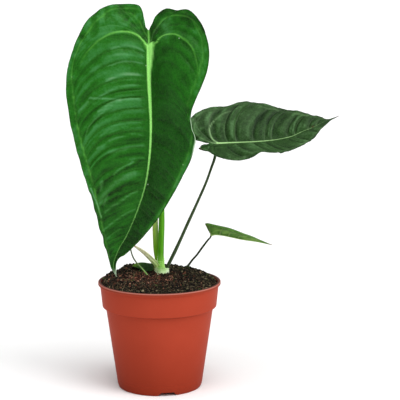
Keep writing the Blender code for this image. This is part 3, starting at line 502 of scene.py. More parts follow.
def bladeMaterials(leaf):
    # living leaf: chlorophyll green under a waxy skin, which gives a soft pale sheen; the underside
    # is paler and duller
    made = []
    for under in (False, True):
        deep, middle, lit, vein, rib, edge = leaf["underColors" if under else "colors"]
        material, surface, add = startMaterial(
            leaf["material"] + ("Underside" if under else "UpperSide"), lit,
            0.55 if under else leaf["roughness"], IOR=1.45,
            Specular_IOR_Level=0.25 if under else leaf["gloss"],
        )
        place, (veinTone, midrib, light, pale) = readPattern(add)
        cloud = add("TexNoise", {"Scale": 1 / leaf["cloudSize"], "Detail": 4.0, "Roughness": 0.65},
                    {"Vector": place})
        small = add("TexNoise", {"Scale": 1 / leaf["netSize"], "Detail": 2.0}, {"Vector": place})
        cells = add("TexVoronoi", {"feature": "DISTANCE_TO_EDGE", "Scale": 1 / leaf["netSize"]},
                    {"Vector": place})
        net = add("MapRange", {"From Max": 0.16, "To Min": 1.0, "To Max": 0.0}, {"Value": cells})
        tone = add("Math", {"operation": "MULTIPLY_ADD", 1: leaf["cloud"]}, {0: cloud, 2: light})
        tone = add("Math", {"operation": "MULTIPLY_ADD", 1: leaf["grain"]}, {0: small, 2: tone})
        tone = add("Math",
                   {"operation": "SUBTRACT", 1: 0.5 * (leaf["cloud"] + leaf["grain"]), "use_clamp": True},
                   {0: tone})
        color = add("ValToRGB", {"stops": [(0, deep), (0.5, middle), (1, lit)]}, {0: tone})
        netShare = add("Math", {"operation": "MULTIPLY", 1: leaf["netTone"]}, {0: net})
        dots = add("TexVoronoi", {"Scale": 1 / leaf["fleckGap"]}, {"Vector": place})
        fleck = add("MapRange",
                    {"From Min": 0.02, "From Max": 0.04, "To Min": leaf["fleckTone"], "To Max": 0.0},
                    {"Value": dots})
        for share, tint in ((netShare, vein), (veinTone, vein), (midrib, rib), (fleck, edge), (pale, edge)):
            color = add("Mix", {"data_type": "RGBA", 7: tint}, {0: share, 6: color}, 2)
        fine = add("TexNoise", {"Scale": 1 / leaf["poreSize"], "Detail": 2.0}, {"Vector": place})
        height = add("Math", {"operation": "MULTIPLY_ADD", 1: -0.7}, {0: net, 2: fine})
        height = add("Math", {"operation": "MULTIPLY_ADD", 1: 2.0}, {0: small, 2: height})
        bump = add("Bump", {"Strength": leaf["skinBump"], "Distance": leaf["poreDepth"]},
                   {"Height": height})
        linkSurface(surface, Base_Color=color, Normal=bump)
        made.append(material)
    return made


# a small plain leaf; each leaf below gives what differs.
# straighten: first and last vein and amount; ribs: (vein number, strength) on the left and right;
# drawnVeins: widths and tones from start to end, height, and path of (vein number, share across);
# sheens: light and dark lines painted into the tone, as tone, width and such a path, painted highlights and
# painted shade on the main leaf; spots: (vein number, share across) and size;
# colors: deep, middle and lit green, side vein, midrib, and pale edge
leafBase = {
    "lobeVeins": 2, "spread": (0.8, 0.8), "bend": sideBend, "straighten": (0, 1, 0),
    "relief": 0.0005, "crest": 1.2, "ribChange": 0.2, "ribPatches": 0, "fineRibs": 0.2,
    "ribs": ([(0, 1)], [(0, 1)]), "clear": 0.12, "uneven": 0.1, "scallop": 0.01, "edgeWave": 0.0002,
    "streakRibs": 0.5, "streakDepth": 0.1, "streakTone": 0.15, "mottle": 0.08,
    "creaseTone": 0.1, "creaseWidth": 0.001, "rightPatches": 1,
    "midribBlur": 0.3, "midribRight": [(0, 1)], "midribTone": [(0, 0.9), (0.7, 0.7), (1, 0.2)],
    "midribHeight": 0.0003, "knob": 0.0012,
    "collectiveShare": (0.09, 0.09), "collectiveDepth": 0.0001, "collectiveTones": (0.1, 0.1),
    "collectiveWidth": 0.0012, "veinWidth": 0.0005, "fineVeinWidth": 0.0004, "fineReach": 0.42,
    "bumps": 0.00006, "bumpSizes": (0.004, 0.0018), "patchSize": 0.024,
    "lobeTone": 0, "tipShade": 0, "ribShade": 0.35, "bandTone": 0.05, "edgeShadeWidth": 0.0016,
    "lightBands": [], "sheens": [], "sheenPale": 0.17, "paleEdges": [], "paleEdgeWidth": 0.0009,
    "thickness": 0.0006, "thinEdgeWidth": 0.003, "keel": 0.0006, "keelWidth": 0.001,
    "roughness": 0.42, "gloss": 0.15, "cloud": 0.5, "cloudSize": 0.018, "grain": 0.2,
    "netTone": 0.08, "netSize": 0.0022, "skinBump": 0.35, "poreSize": 0.0008, "poreDepth": 0.00018,
    "fleckGap": 0.012, "fleckTone": 0.2,
}


def plainVeins(middle, left, right):
    # the drawn veins of a small leaf by their tones: to the sinus, and out over both halves
    return [
        ((0.0006, 0.0004), middle, 0.0001, [(0, 0), (0, 0.5), (0, 1)]),
        ((0.0005, 0.0004), left, 0, [(2, -0.05), (2, -0.5), (2, -0.9)]),
        ((0.0005, 0.0004), right, 0, [(2, 0.05), (2, 0.5), (2, 0.9)]),
    ]


mainLeaf = {
    **leafBase, "node": "leaf_main", "material": "waxyMainLeaf", "face": (0, -1, 0),
    "midrib": mm(
        (-7.9, -14, 333.1), (-7.6, -20, 307.1), (-6.4, -25, 279.3), (-6.1, -28, 256), (-7.7, -29, 229.6),
        (-11.7, -28, 204.6), (-18.8, -25, 181.5), (-29.3, -21, 156.2), (-41.8, -16, 131.7),
        (-44.1, -14, 123.4), (-41.6, -10, 110.7),
    ),
    "sinus": mm(-8.8, -12, 348.6),
    "left": mm(
        (-11.9, -11.5, 352.4), (-14.5, -10, 356.3), (-13.9, -8, 363.4), (-16.5, -6, 370.5),
        (-31.9, -3, 373.4), (-50.7, -2, 370.8), (-64.7, -4, 360.1), (-76.9, -8, 339.9),
        (-85.7, -13, 312.2), (-86.8, -17, 288.1), (-84.2, -20, 268.4), (-80, -22, 247.8),
        (-74.1, -23, 224), (-64.6, -22, 192.9), (-56.9, -19, 161.6), (-49.2, -14, 130.7),
        (-45.6, -12, 118.2),
    ),
    "right": mm(
        (-5.5, -14, 354.8), (-0.6, -17, 363.9), (7.8, -21, 369.2), (18.3, -26, 367.6), (28.6, -32, 368.4),
        (37.3, -38, 360.8), (44.3, -43, 347.1), (48.2, -48, 330.5), (46.6, -53, 313.8), (41, -57, 298.5),
        (35.5, -60, 286.1), (31, -62, 272.5), (32.3, -61, 261.7), (34.8, -59, 250.9), (33, -55, 236.1),
        (25.3, -51, 218.3), (14.7, -45, 197.4), (-3, -34, 168.3), (-27.1, -22, 139.4),
        (-40.1, -14, 126.4),
    ),
    "lobeVeins": 6, "sideVeins": 24,
    "reach": (0.45, 0.35), "spread": (0.86, 0.95), "bow": (0.1, 0.12), "bend": mainBend,
    "straighten": (14, 22, 0.65),
    "relief": 0.0014, "crest": 1.5, "ribChange": 0.5, "ribPatches": 0.8, "fineRibs": 0.85,
    "ribs": (
        [(0, 0.1), (5, 0.2), (6.5, 1.1), (9, 1.3), (10, 0.8), (11, 0.8), (14, 0.7), (18, 0.85), (21, 0.7),
         (24, 0.4), (30, 0.3)],
        [(0, 0.25), (6, 0.3), (10, 0.2), (20, 0.22), (24, 0.2), (30, 0.1)],
    ),
    "clear": 0.12, "streakRibs": 0.3, "streakDepth": 0.18, "streakTone": 0.2, "mottle": 0.15,
    "creaseTone": 0.05, "creaseWidth": 0.001, "rightPatches": 0.25,
    "midribBlur": 0.45,
    "midribRight": [(0, 2.5), (0.03, 2.2), (0.055, 1.8), (0.1, 1.15), (0.2, 0.65), (0.31, 0.75), (0.5, 1)],
    "midribHalf": [(0, 0.0031), (0.05, 0.0029), (0.18, 0.0027), (0.24, 0.0022), (0.31, 0.0016),
                   (0.4, 0.0014), (0.57, 0.001), (0.75, 0.0007), (1, 0.0005)],
    "midribTone": [(0, 1), (0.3, 1), (0.45, 0.8), (0.58, 0.5), (0.75, 0.32), (1, 0.3)],
    "midribHeight": 0.0014, "knob": 0.0044,
    "collectiveShare": (0.115, 0.09), "collectiveDepth": 0.0007, "collectiveTones": (0.3, 0.15),
    "scallop": 0.014, "uneven": 0.28, "edgeWave": 0.0006, "bumps": 0.0005, "bumpSizes": (0.006, 0.0026),
    # tones: the left half is painted lighter as sheen and the right half darker as shade; lightBands paint
    # a sheen along the right margin
    "veinTones": (0.07, 0.03), "tones": (0.52, 0.3),
    "lobeTone": -0.04, "tipShade": 0.25, "ribShade": 0.25, "bandTone": 0.16,
    "lightBands": [(0.35, 12, 24, 0.003)],
    "drawnVeins": [
        ((0.0016, 0.0009), (1, 0.7), 0.0004, [(0, 0), (0, 0.5), (0, 1)]),
        ((0.0011, 0.0006), (1, 0.15), 0.0003,
         [(6.1, -0.04), (4.7, -0.1), (4.2, -0.19), (4.5, -0.26), (4.9, -0.33), (5.3, -0.38),
          (5.6, -0.44), (5.9, -0.5), (6, -0.56), (6.1, -0.62), (6.2, -0.69), (6.4, -0.75)]),
        ((0.0008, 0.0005), (1, 0.05), 0.0002,
         [(6.4, 0.08), (6.2, 0.19), (6, 0.28), (5.8, 0.38), (5.7, 0.48), (5.8, 0.58), (5.8, 0.66),
          (5.9, 0.75), (6.1, 0.81), (6.5, 0.88), (7, 0.91)]),
        ((0.0008, 0.0006), (0.5, 0.05), 0.0002,
         [(0.2, -0.12), (0.7, -0.24), (1.3, -0.34), (1.4, -0.46), (1.5, -0.6), (1.6, -0.7),
          (1.9, -0.76), (2.3, -0.8)]),
        ((0.0008, 0.0006), (0.5, 0.05), 0.0002,
         [(1.5, 0.12), (1.4, 0.38), (1.7, 0.54), (1.8, 0.69), (2.4, 0.74), (2.9, 0.82), (3.2, 0.9),
          (3.8, 0.94), (4.9, 0.95)]),
    ],
    # painted highlights along the ribs, and painted shade where the tone is below 0
    "sheens": [
        (1.00, 0.0008, [(8.9, -0.42), (8.85, -0.38), (8.75, -0.22), (8.7, -0.09)]),
        (0.34, 0.0009, [(9.9, -0.5), (9.7, -0.35), (9.6, -0.22), (9.55, -0.12)]),
        (0.5, 0.001, [(11.4, -0.55), (11.1, -0.35), (11.1, -0.22), (11.2, -0.1)]),
        (0.25, 0.001, [(12.4, -0.65), (12.2, -0.55), (12.0, -0.45), (11.9, -0.35)]),
        (0.5, 0.0008, [(6.9, -0.4), (6.8, -0.3), (6.75, -0.18), (6.7, -0.07)]),
        (0.45, 0.0008, [(7.5, -0.42), (7.4, -0.3), (7.35, -0.18), (7.3, -0.07)]),
        (0.45, 0.0008, [(8.1, -0.42), (8.0, -0.3), (7.95, -0.18), (7.9, -0.07)]),
        (0.25, 0.0009, [(13.6, -0.6), (13.3, -0.4), (13.2, -0.25), (13.3, -0.1)]),
        (0.45, 0.0007, [(9.4, -0.65), (10.1, -0.51), (10.8, -0.38), (11.1, -0.31), (11.2, -0.16)]),
        (0.4, 0.0007, [(11.1, -0.31), (11.4, -0.38), (11.5, -0.44), (11.8, -0.55), (11.9, -0.66),
                        (12.0, -0.74), (12.4, -0.81)]),
        (1.00, 0.0012, [(11.08, -0.32), (11.14, -0.3)]),
        (0.9, 0.001, [(11.5, -0.44), (11.53, -0.45)]),
        (0.35, 0.0014, [(9.3, -0.83), (9.6, -0.74), (9.6, -0.66)]),
        (-0.25, 0.001, [(8.6, -0.81), (8.7, -0.73), (8.7, -0.62)]),
        (-0.25, 0.0011, [(14.0, -0.5), (13.9, -0.36), (13.7, -0.23), (13.4, -0.09)]),
        (0.4, 0.0007, [(14.4, -0.68), (14.5, -0.56), (14.4, -0.45), (14.4, -0.33), (14.3, -0.2),
                       (14.4, -0.09)]),
        (-0.25, 0.0011, [(14.7, -0.54), (14.7, -0.38), (14.8, -0.24), (14.7, -0.1)]),
        (0.32, 0.0022, [(15.8, -0.5), (16.0, -0.36), (15.8, -0.24), (15.7, -0.09)]),
        (-0.28, 0.0012, [(16.5, -0.61), (16.5, -0.48), (16.4, -0.34), (16.4, -0.09)]),
        (0.35, 0.0008, [(16.7, -0.24), (16.7, -0.14), (16.7, -0.06)]),
        (0.4, 0.0009, [(17.9, -0.5), (17.4, -0.38), (17.1, -0.25), (16.9, -0.19)]),
        (-0.28, 0.0012, [(18.4, -0.85), (18.1, -0.69), (18.0, -0.53), (17.75, -0.35), (17.35, -0.2),
                         (16.9, -0.1)]),
        (0.42, 0.0016, [(18.4, -0.76), (17.9, -0.71)]),
        (0.35, 0.0026, [(19.6, -0.83), (18.9, -0.7), (18.6, -0.54), (18.4, -0.36), (18.2, -0.19)]),
        (0.42, 0.0016, [(20.1, -0.75), (19.2, -0.65)]),
        (-0.3, 0.0013, [(20.3, -0.79), (19.4, -0.68), (19.1, -0.49), (18.8, -0.3), (18.6, -0.1)]),
        (0.45, 0.0009, [(20.8, -0.74), (20.6, -0.54), (20.5, -0.39), (20.2, -0.23), (20.1, -0.1)]),
        (0.38, 0.0009, [(22.8, -0.9), (22.6, -0.62), (22.4, -0.41), (22.2, -0.24), (22.1, -0.06)]),
        (0.3, 0.0009, [(24.4, -0.85), (24.1, -0.58), (23.8, -0.31)]),
        (0.7, 0.0008, [(17.1, -0.95), (18.4, -0.93), (19.2, -0.9), (20.4, -0.88), (21.1, -0.86)]),
        (0.3, 0.0085, [(3.6, 0.48), (5.5, 0.34)]),
        (0.2, 0.004, [(3.5, 0.9), (5.5, 0.93), (8.0, 0.93)]),
    ],
    "tipLength": 0.011, "paleEdges": [(0.7, 9, 14), (0.9, 28, 32)], "spots": [((30, 0), 0.003)],
    "thickness": 0.0007, "keel": 0.0014, "keelWidth": 0.0022, "seed": 5,
    "colors": ("#082C04", "#1E6414", "#408648", "#68B848", "#A2F27C", "#D4F2CC"),
    "underColors": ("#2A5A24", "#386A30", "#437A3A", "#78A862", "#98C878", "#A8C880"),
    "roughness": 0.36, "gloss": 0.11, "cloud": 0.42, "grain": 0.35, "netTone": 0.06, "skinBump": 0.6,
    "fleckGap": 0.02, "fleckTone": 0.4,
}

rightLeaf = {
    **leafBase, "node": "leaf_right", "material": "waxyRightLeaf", "face": (0, -0.3, 1),
    "midrib": mm(
        (56, 14, 238), (74, 13, 239), (92, 12, 240), (117, 10, 243), (128, 10, 245.5), (140, 9.5, 251),
        (150, 9, 255), (162, 8, 261.5), (174, 8, 266),
    ),
    "sinus": mm(50, 15, 239),
    "left": mm(
        (43, 16, 240), (36, 19, 241), (27, 25, 249), (30, 33, 261), (41, 38, 269), (54, 41, 272),
        (70, 42, 273), (82, 43, 277), (98, 42, 276), (114, 38, 272), (134, 30, 269), (154, 19, 265),
        (165, 11, 263),
    ),
    "right": mm(
        (46.5, 10, 238.3), (42, 5, 238.5), (39.8, 0.6, 236.8), (38.6, -1.4, 235.8), (39.6, -2.6, 235.2),
        (41.5, -4, 234.5), (48, -7, 233), (59, -13, 228), (69, -17, 226), (79, -19, 226), (89, -20, 229),
        (97, -20, 233.4), (111, -19, 233.6), (121, -17, 234), (136, -12, 238.8), (149.2, -5, 246.2),
        (156.3, 0, 253.8), (164, 4, 261),
    ),
    "lobeVeins": 3, "sideVeins": 11,
    "reach": (0.39, 0.3), "spread": (0.68, 0.75), "bow": (0.1, 0.1), "bend": sideBend,
    "relief": 0.0024, "crest": 1.5, "ribChange": 0.4, "ribPatches": 0.6, "fineRibs": 0.1,
    "ribs": ([(0, 0.2), (2.5, 0.4), (4, 1.0), (14, 0.8)], [(0, 0.2), (3, 0.6), (14, 0.5)]),
    "clear": 0.2, "streakRibs": 0.14, "streakDepth": 0.1, "streakTone": 0.26, "mottle": 0.2,
    "creaseTone": 0.8, "creaseWidth": 0.0007, "rightPatches": 0.5,
    "midribHalf": [(0, 0.0016), (0.1, 0.0012), (0.4, 0.0007), (0.7, 0.0004), (1, 0.0003)],
    "midribTone": [(0, 1), (0.5, 0.8), (0.75, 0.5), (0.9, 0.2), (1, 0)],
    "midribHeight": 0.0008, "knob": 0.002,
    "collectiveShare": (0.11, 0.1), "collectiveDepth": 0.0004, "collectiveTones": (0.14, 0.1),
    "scallop": 0.02, "uneven": 0.25, "edgeWave": 0.0003, "bumps": 0.0005, "bumpSizes": (0.0045, 0.0022),
    "veinTones": (0.16, 0.08), "tones": (0.4, 0.4), "lobeTone": 0.16, "ribShade": 0.4, "bandTone": 0.1,
    "drawnVeins": [
        ((0.001, 0.0006), (1, 0.8), 0.0003, [(0, 0), (0, 0.5), (0, 1)]),
        ((0.0008, 0.0006), (0.85, 0.12), 0.0003,
         [(3.1, -0.03), (2.8, -0.11), (2.9, -0.23), (3, -0.36), (3.1, -0.48), (3.3, -0.57),
          (3.7, -0.64), (4.2, -0.69), (4.7, -0.74)]),
        ((0.0007, 0.0006), (0.45, 0.15), 0.0002,
         [(0.8, -0.15), (1, -0.4), (1.3, -0.62), (1.8, -0.74), (2.3, -0.78)]),
    ],
    "tipLength": 0.004, "spots": [((11.6, -0.05), 0.001), ((1.2, 1), 0.0022)],
    "thickness": 0.0007, "keel": 0.0013, "keelWidth": 0.0019, "seed": 11,
    "colors": ("#0C2408", "#2A4A20", "#56804E", "#8DB47C", "#ACD890", "#54402F"),
    "underColors": ("#2C5A26", "#376530", "#43703A", "#78985F", "#94B670", "#54402F"),
    "gloss": 0.12, "grain": 0.5, "netTone": 0.05, "skinBump": 0.5, "fleckTone": 0.25,
}

lowRightLeaf = {
    **leafBase, "node": "leaf_low_right", "material": "youngLeaf", "face": (0, 0, 1),
    "midrib": mm(
        (50.8, 18, 147), (53.7, 17.5, 147.9), (60.4, 16.5, 147.8), (69.8, 15, 146.3), (79.6, 13, 144.5),
        (96, 10.5, 142.1), (110.9, 8, 138.9),
    ),
    "sinus": mm(50, 18, 148),
    "left": mm(
        (49.2, 21, 151), (47.4, 23.5, 154.5), (45.8, 25.5, 157.8), (49, 27, 157.2), (56, 26.8, 155.6),
        (69, 24.5, 152.8), (83, 20, 148.6), (96, 15, 144.2),
    ),
    "right": mm(
        (49.2, 14.5, 151.2), (47.2, 12, 155.1), (45.4, 10.4, 158.8), (44.5, 9.8, 160.2), (45.6, 9.6, 160),
        (48.4, 9, 158.9), (56.1, 7.5, 157.3), (68.8, 6, 154.3), (82.6, 6, 149.6), (95.6, 7, 145.2),
    ),
    "sideVeins": 7, "reach": (0.24, 0.24), "bow": (0.04, 0.04), "bend": foldedBend,
    "streakTone": 0.3, "midribHalf": [(0, 0.0007), (1, 0.0004)],
    "veinTones": (0.35, 0.35), "tones": (0.38, 0.38), "lobeTone": -0.3, "tipShade": -0.3,
    "drawnVeins": plainVeins((0.7, 0.5), (0.6, 0.3), (0.6, 0.3)),
    "sheens": [
        (-0.35, 0.003, [(0.6, 0.6), (1.4, 0.85), (2.0, 0.9)]),
        (-0.3, 0.0012, [(2.2, 0.85), (3.2, 0.85), (4.2, 0.8)]),
        (-0.3, 0.001, [(3.0, 0.08), (4.2, 0.08), (5.4, 0.1)]),
        (0.35, 0.0008, [(2.2, 0.25), (2.6, 0.5), (3.0, 0.65)]),
        (0.35, 0.0008, [(3.4, 0.25), (3.8, 0.45), (4.2, 0.6)]),
        (0.25, 0.0009, [(4.8, 0.3), (5.2, 0.5), (5.5, 0.65)]),
        (0.3, 0.0028, [(5.8, 0.4), (7.0, 0.45)]),
    ],
    "tipLength": 0.007, "spots": [((1.2, 1), 0.001), ((1.2, -1), 0.001)], "seed": 17,
    "colors": ("#2F6214", "#4A7E24", "#5F9A38", "#A9C078", "#A8C870", "#7A5A30"),
    "underColors": ("#245010", "#4E7E28", "#76A446", "#A5BC76", "#A8C870", "#7A5A30"),
}

leftLeaf = {
    **leafBase, "node": "leaf_left", "material": "youngHiddenLeaf", "face": (-0.6, 0.6, 0.5),
    "midrib": mm(
        (-31, 3, 190), (-34.5, 6, 189), (-38.5, 10, 184), (-42, 14, 174), (-44, 17, 164),
        (-45, 18.5, 156),
    ),
    "sinus": mm(-30, 2, 191.5),
    "left": mm(
        (-26, 4, 195), (-22, 8.5, 195.5), (-21.5, 13, 192), (-24.5, 17.5, 185), (-30, 21.5, 176),
        (-37, 22, 166), (-42, 20.5, 160),
    ),
    "right": mm(
        (-33.5, -2.5, 195), (-38.5, -6, 195.5), (-42.5, -6, 192), (-46.5, -2, 185), (-49, 4.5, 176),
        (-49, 11.5, 166), (-47, 16, 160),
    ),
    "sideVeins": 6, "reach": (0.3, 0.3), "bow": (0.06, 0.06),
    "relief": 0.0006, "bumps": 0.00008, "midribHalf": [(0, 0.0008), (1, 0.0004)],
    "veinTones": (0.3, 0.3), "tones": (0.55, 0.55),
    "drawnVeins": plainVeins((0.8, 0.5), (0.6, 0.3), (0.6, 0.3)),
    "tipLength": 0.003, "spots": [((8, 0), 0.001)], "seed": 23,
    "colors": ("#2C6A1E", "#367828", "#3F8630", "#86B866", "#A4D080", "#A9BC7C"),
    "underColors": ("#3F7A34", "#4E8742", "#5C9450", "#93BC78", "#A4D080", "#A9BC7C"),
    "roughness": 0.4,
}

soilLeaf = {
    **leafBase, "node": "leaf_soil", "material": "darkSoilLeaf", "face": (0, -0.4, 1),
    "midrib": mm(
        (-10.9, 24, 117.1), (-16.1, 24, 118), (-21, 23.5, 118), (-25, 22.8, 117), (-27.7, 22, 115),
    ),
    "sinus": mm(-9.8, 23.8, 116.8),
    "left": mm(
        (-8, 27.5, 116), (-8.5, 31.5, 114.8), (-11.5, 34.5, 113.8), (-16.5, 34.5, 114),
        (-21.5, 31.5, 114.4), (-25.2, 26.5, 115),
    ),
    "right": mm(
        (-8.4, 20.5, 116), (-7.8, 16.5, 114.4), (-8.8, 12.5, 112.6), (-12.5, 10.5, 112.2),
        (-17.8, 13, 113), (-22.8, 17, 114.2), (-26, 20, 114.6),
    ),
    "sideVeins": 5, "reach": (0.36, 0.36), "bow": (0.08, 0.08), "edgeWave": 0.0001,
    "midribHalf": [(0, 0.0006), (1, 0.0003)], "midribHeight": 0.0002,
    "veinTones": (0.15, 0.15), "tones": (0.25, 0.35), "tipShade": -0.3, "ribShade": 0.3, "bandTone": 0.45,
    "drawnVeins": plainVeins((0.4, 0.4), (0.3, 0.2), (0.4, 0.3)),
    "tipLength": 0.002, "spots": [((6, 0.1), 0.004)], "keel": 0.0005, "keelWidth": 0.0009, "seed": 29,
    "colors": ("#0B1E06", "#183A0E", "#2F661C", "#4A7A34", "#5C8A40", "#6F9A2E"),
    "underColors": ("#2C5A24", "#35642B", "#3E6E32", "#5C8A4A", "#6B9A50", "#6B6A35"),
    "gloss": 0.1, "netTone": 0.06,
}


def junctionNormal(leaf):
    # the way out of the upper face where the stalk joins
    midrib = curveThrough(leaf["midrib"], [0, 0.04])
    along = unit(midrib[1] - midrib[0]) - unit(leaf["sinus"] - midrib[0])
    sides = veinRows(leaf, np.array([leaf["lobeVeins"] * 1.0]), np.array([0, 0.15]))[0]
    normal = unit(np.cross(along, sides[2] - sides[0]))
    return normal * (1 if normal @ leaf["face"] > 0 else -1)


makeBlade("mainBlade", mainLeaf)
makeBlade("rightBlade", rightLeaf)
makeBlade("lowRightBlade", lowRightLeaf)
makeBlade("leftBlade", leftLeaf)
makeBlade("soilBlade", soilLeaf)


# Stalks

def makeStalk(name, stalk):
    # a round stem, P = path + r(1 + flute cos(k a)) (A cos a + B sin a), closed at both ends
    points = stalk["points"]
    if "leaf" in stalk:
        leaf, radius = stalk["leaf"], stalk["seatRadius"]
        normal = junctionNormal(leaf)
        seat = leaf["midrib"][0] - normal * leaf["thickness"]
        below = seat - normal * 1.6 * radius
        points = np.concatenate([points, [[*below, radius], [*seat, 1.1 * radius]]])
    stations, sides = stalk["stations"], 28
    share = np.linspace(0, 1, stations)
    path = curveThrough(points, share)
    tangent = unit(np.gradient(path[:, :3], axis=0))
    wide = unit(np.cross(tangent, stalk["across"]))
    deep = np.cross(tangent, wide)
    angle = np.linspace(0, 2 * np.pi, sides, endpoint=False)
    flute = 1 + stalk["flute"] * np.cos(stalk["flutes"] * angle)[None]
    uneven = 1 + stalk["uneven"] * softNoise(path[:, :3], stalk["lumpSize"], stalk["seed"])[:, None]
    radius = path[:, 3:4] * flute * uneven
    ring = wide[:, None] * np.cos(angle)[None, :, None] + deep[:, None] * np.sin(angle)[None, :, None]
    points, faces = skinOver(path[:, None, :3] + ring * radius[..., None], path[0, :3], path[-1, :3])
    stripe = 0.5 + 0.5 * np.cos(stalk["flutes"] * angle + 1.1)[None]
    # the side that litSide picks takes the side tone, which is painted light and shade
    lit = 0.5 + 0.5 * stalk["litSide"] * ring[..., 0]
    colors = np.stack(np.broadcast_arrays(stripe, share[:, None], lit), -1).reshape(-1, 3)
    colors = np.concatenate([colors, colors[:1], colors[-1:]])
    return addPiece(name, points, faces, [stalkMaterial(stalk)], colors, None, 50, [stalk["node"]])


def stalkMaterial(look):
    # fleshy stem: smooth skin over long fibres, which show as faint lengthwise streaks
    plain, streaked = look["colors"]
    fibreWidth, fibreLength = 0.0007, 0.012
    material, surface, add = startMaterial(look["material"], plain, look["roughness"], IOR=1.45,
                                           Specular_IOR_Level=0.02)
    place, (stripe, height, lit, _) = readPattern(add)
    stretched = add("Mapping", {"Scale": (1 / fibreWidth, 1 / fibreWidth, 1 / fibreLength)},
                    {"Vector": place})
    streaks = add("TexNoise", {"Scale": 1.0, "Detail": 2.0}, {"Vector": stretched})
    tone = add("Math", {"operation": "MULTIPLY_ADD", 1: look["stripe"]}, {0: stripe, 2: streaks})
    tone = add("Math", {"operation": "SUBTRACT", 1: 0.2 + 0.5 * look["stripe"], "use_clamp": True},
               {0: tone})
    footStart, footEnd = look["footShares"]
    foot = add("MapRange", {"From Min": footStart, "From Max": footEnd, "To Min": 1.0, "To Max": 0.0},
               {"Value": height})
    # painted light and shade: one side of the stem takes the side tone
    side = add("MapRange", {"From Min": 0.75, "From Max": 1.0, "To Max": look["paintedSideShare"]},
               {"Value": lit})
    color = add("Mix", {"data_type": "RGBA", 6: plain, 7: streaked}, {0: tone}, 2)
    for share, tint in ((foot, look["foot"]), (side, look["side"])):
        color = add("Mix", {"data_type": "RGBA", 7: tint}, {0: share, 6: color}, 2)
    bump = add("Bump", {"Strength": 0.3, "Distance": 0.0001}, {"Height": streaks})
    linkSurface(surface, Base_Color=color, Normal=bump)
    return material


# a thin stalk; points are x, y, z and radius, and footShares say how far up the foot's tone goes; the side
# tone is painted light and shade on the side that litSide picks
stalkBase = {
    "across": (0, 1, 0), "flute": 0.02, "flutes": 4, "uneven": 0.05, "lumpSize": 0.009,
    "litSide": 1, "stripe": 0.3, "paintedSideShare": 0.3, "roughness": 0.45,
}
mainStalk = {
    **stalkBase, "node": "petiole_main", "material": "fleshyGreenStalk",
    "points": mm(
        (0.1, 7.4, 112, 3.2), (0.4, 7, 118, 3.1), (1.1, 6.6, 129, 3.1), (1.5, 6.5, 139, 3),
        (2.3, 6.5, 170, 2.8), (1.9, 6.2, 195, 2.5), (0.8, 5.8, 213.4, 2.4), (-1, 4.5, 243, 2.3),
        (-3, 2, 272.2, 2.2), (-5.2, -1.2, 299, 2.2), (-6.6, -3.2, 312, 2.5), (-7.4, -4.8, 321, 2.8),
        (-7.9, -7.2, 328.8, 2.8),
    ),
    "leaf": mainLeaf, "seatRadius": 0.0024, "stations": 150, "across": (1, 0, 0), "flute": 0.025,
    "flutes": 5, "seed": 3,
    "colors": ("#44900E", "#74BC38"), "stripe": 0.4, "foot": "#90D058", "footShares": (0.02, 0.09),
    "side": "#5C8C3C", "paintedSideShare": 0.7, "roughness": 0.38,
}
furledLeaf = {
    **stalkBase, "node": "furled_leaf", "material": "rolledYoungLeaf",
    "points": mm(
        (-1.7, 13.3, 114, 2), (-1.9, 13.3, 118, 2.2), (-3.3, 12.8, 133, 2.8), (-3.9, 12.1, 145, 2.8),
        (-4.2, 11.4, 161, 2.7), (-4, 10.6, 185, 2.3), (-3.6, 10, 205, 1.4), (-3.1, 9.8, 220, 0.4),
    ),
    "stations": 110, "across": (1, 0, 0), "flute": 0.05, "flutes": 3, "litSide": -1, "seed": 4,
    "colors": ("#C0DC68", "#E8F4B4"), "stripe": 0.5, "foot": "#84C232", "footShares": (0.22, 0.5),
    "side": "#A89458", "paintedSideShare": 0.6, "roughness": 0.42,
}
rightStalk = {
    **stalkBase, "node": "petiole_right", "material": "darkFirmStalk",
    "points": mm(
        (6, 11.2, 109.5, 1.8), (6.9, 11.5, 113.5, 2), (8.5, 11.9, 118.2, 1.8), (10.7, 12.1, 122.8, 1.7),
        (13.5, 12.3, 128.5, 1.7), (17.3, 12.5, 136.5, 1.6), (27.1, 13.4, 158.3, 1.5),
        (37.9, 14.2, 182.1, 1.3), (46.4, 14.9, 201.8, 1.2), (50.9, 15, 214.7, 1.2),
        (53.9, 15, 223.5, 1.3), (55.3, 14.7, 231, 1.4),
    ),
    "leaf": rightLeaf, "seatRadius": 0.0013, "stations": 130, "flute": 0.03, "flutes": 6, "seed": 6,
    "colors": ("#2C3A22", "#5E7350"), "stripe": 0.8, "foot": "#CFE0AE", "footShares": (0, 0.04),
    "side": "#5E7350", "roughness": 0.42,
}
lowRightStalk = {
    **stalkBase, "node": "petiole_low_right", "material": "thinDarkStalk",
    "points": mm(
        (21.5, 37, 105, 1.3), (24, 35.4, 108.3, 1.4), (26.3, 34.2, 111.1, 1.4), (28.4, 33.2, 113.7, 1.1),
        (31.2, 31.5, 118, 1), (36.6, 28.5, 124.9, 1), (41.9, 24, 133.2, 1), (47.9, 19.8, 142, 0.9),
    ),
    "leaf": lowRightLeaf, "seatRadius": 0.0008, "stations": 60, "flute": 0.03, "seed": 7,
    "colors": ("#2A3420", "#4C5C3C"), "stripe": 0.4, "foot": "#3F5A28", "footShares": (0.12, 0.25),
    "side": "#56684A",
}
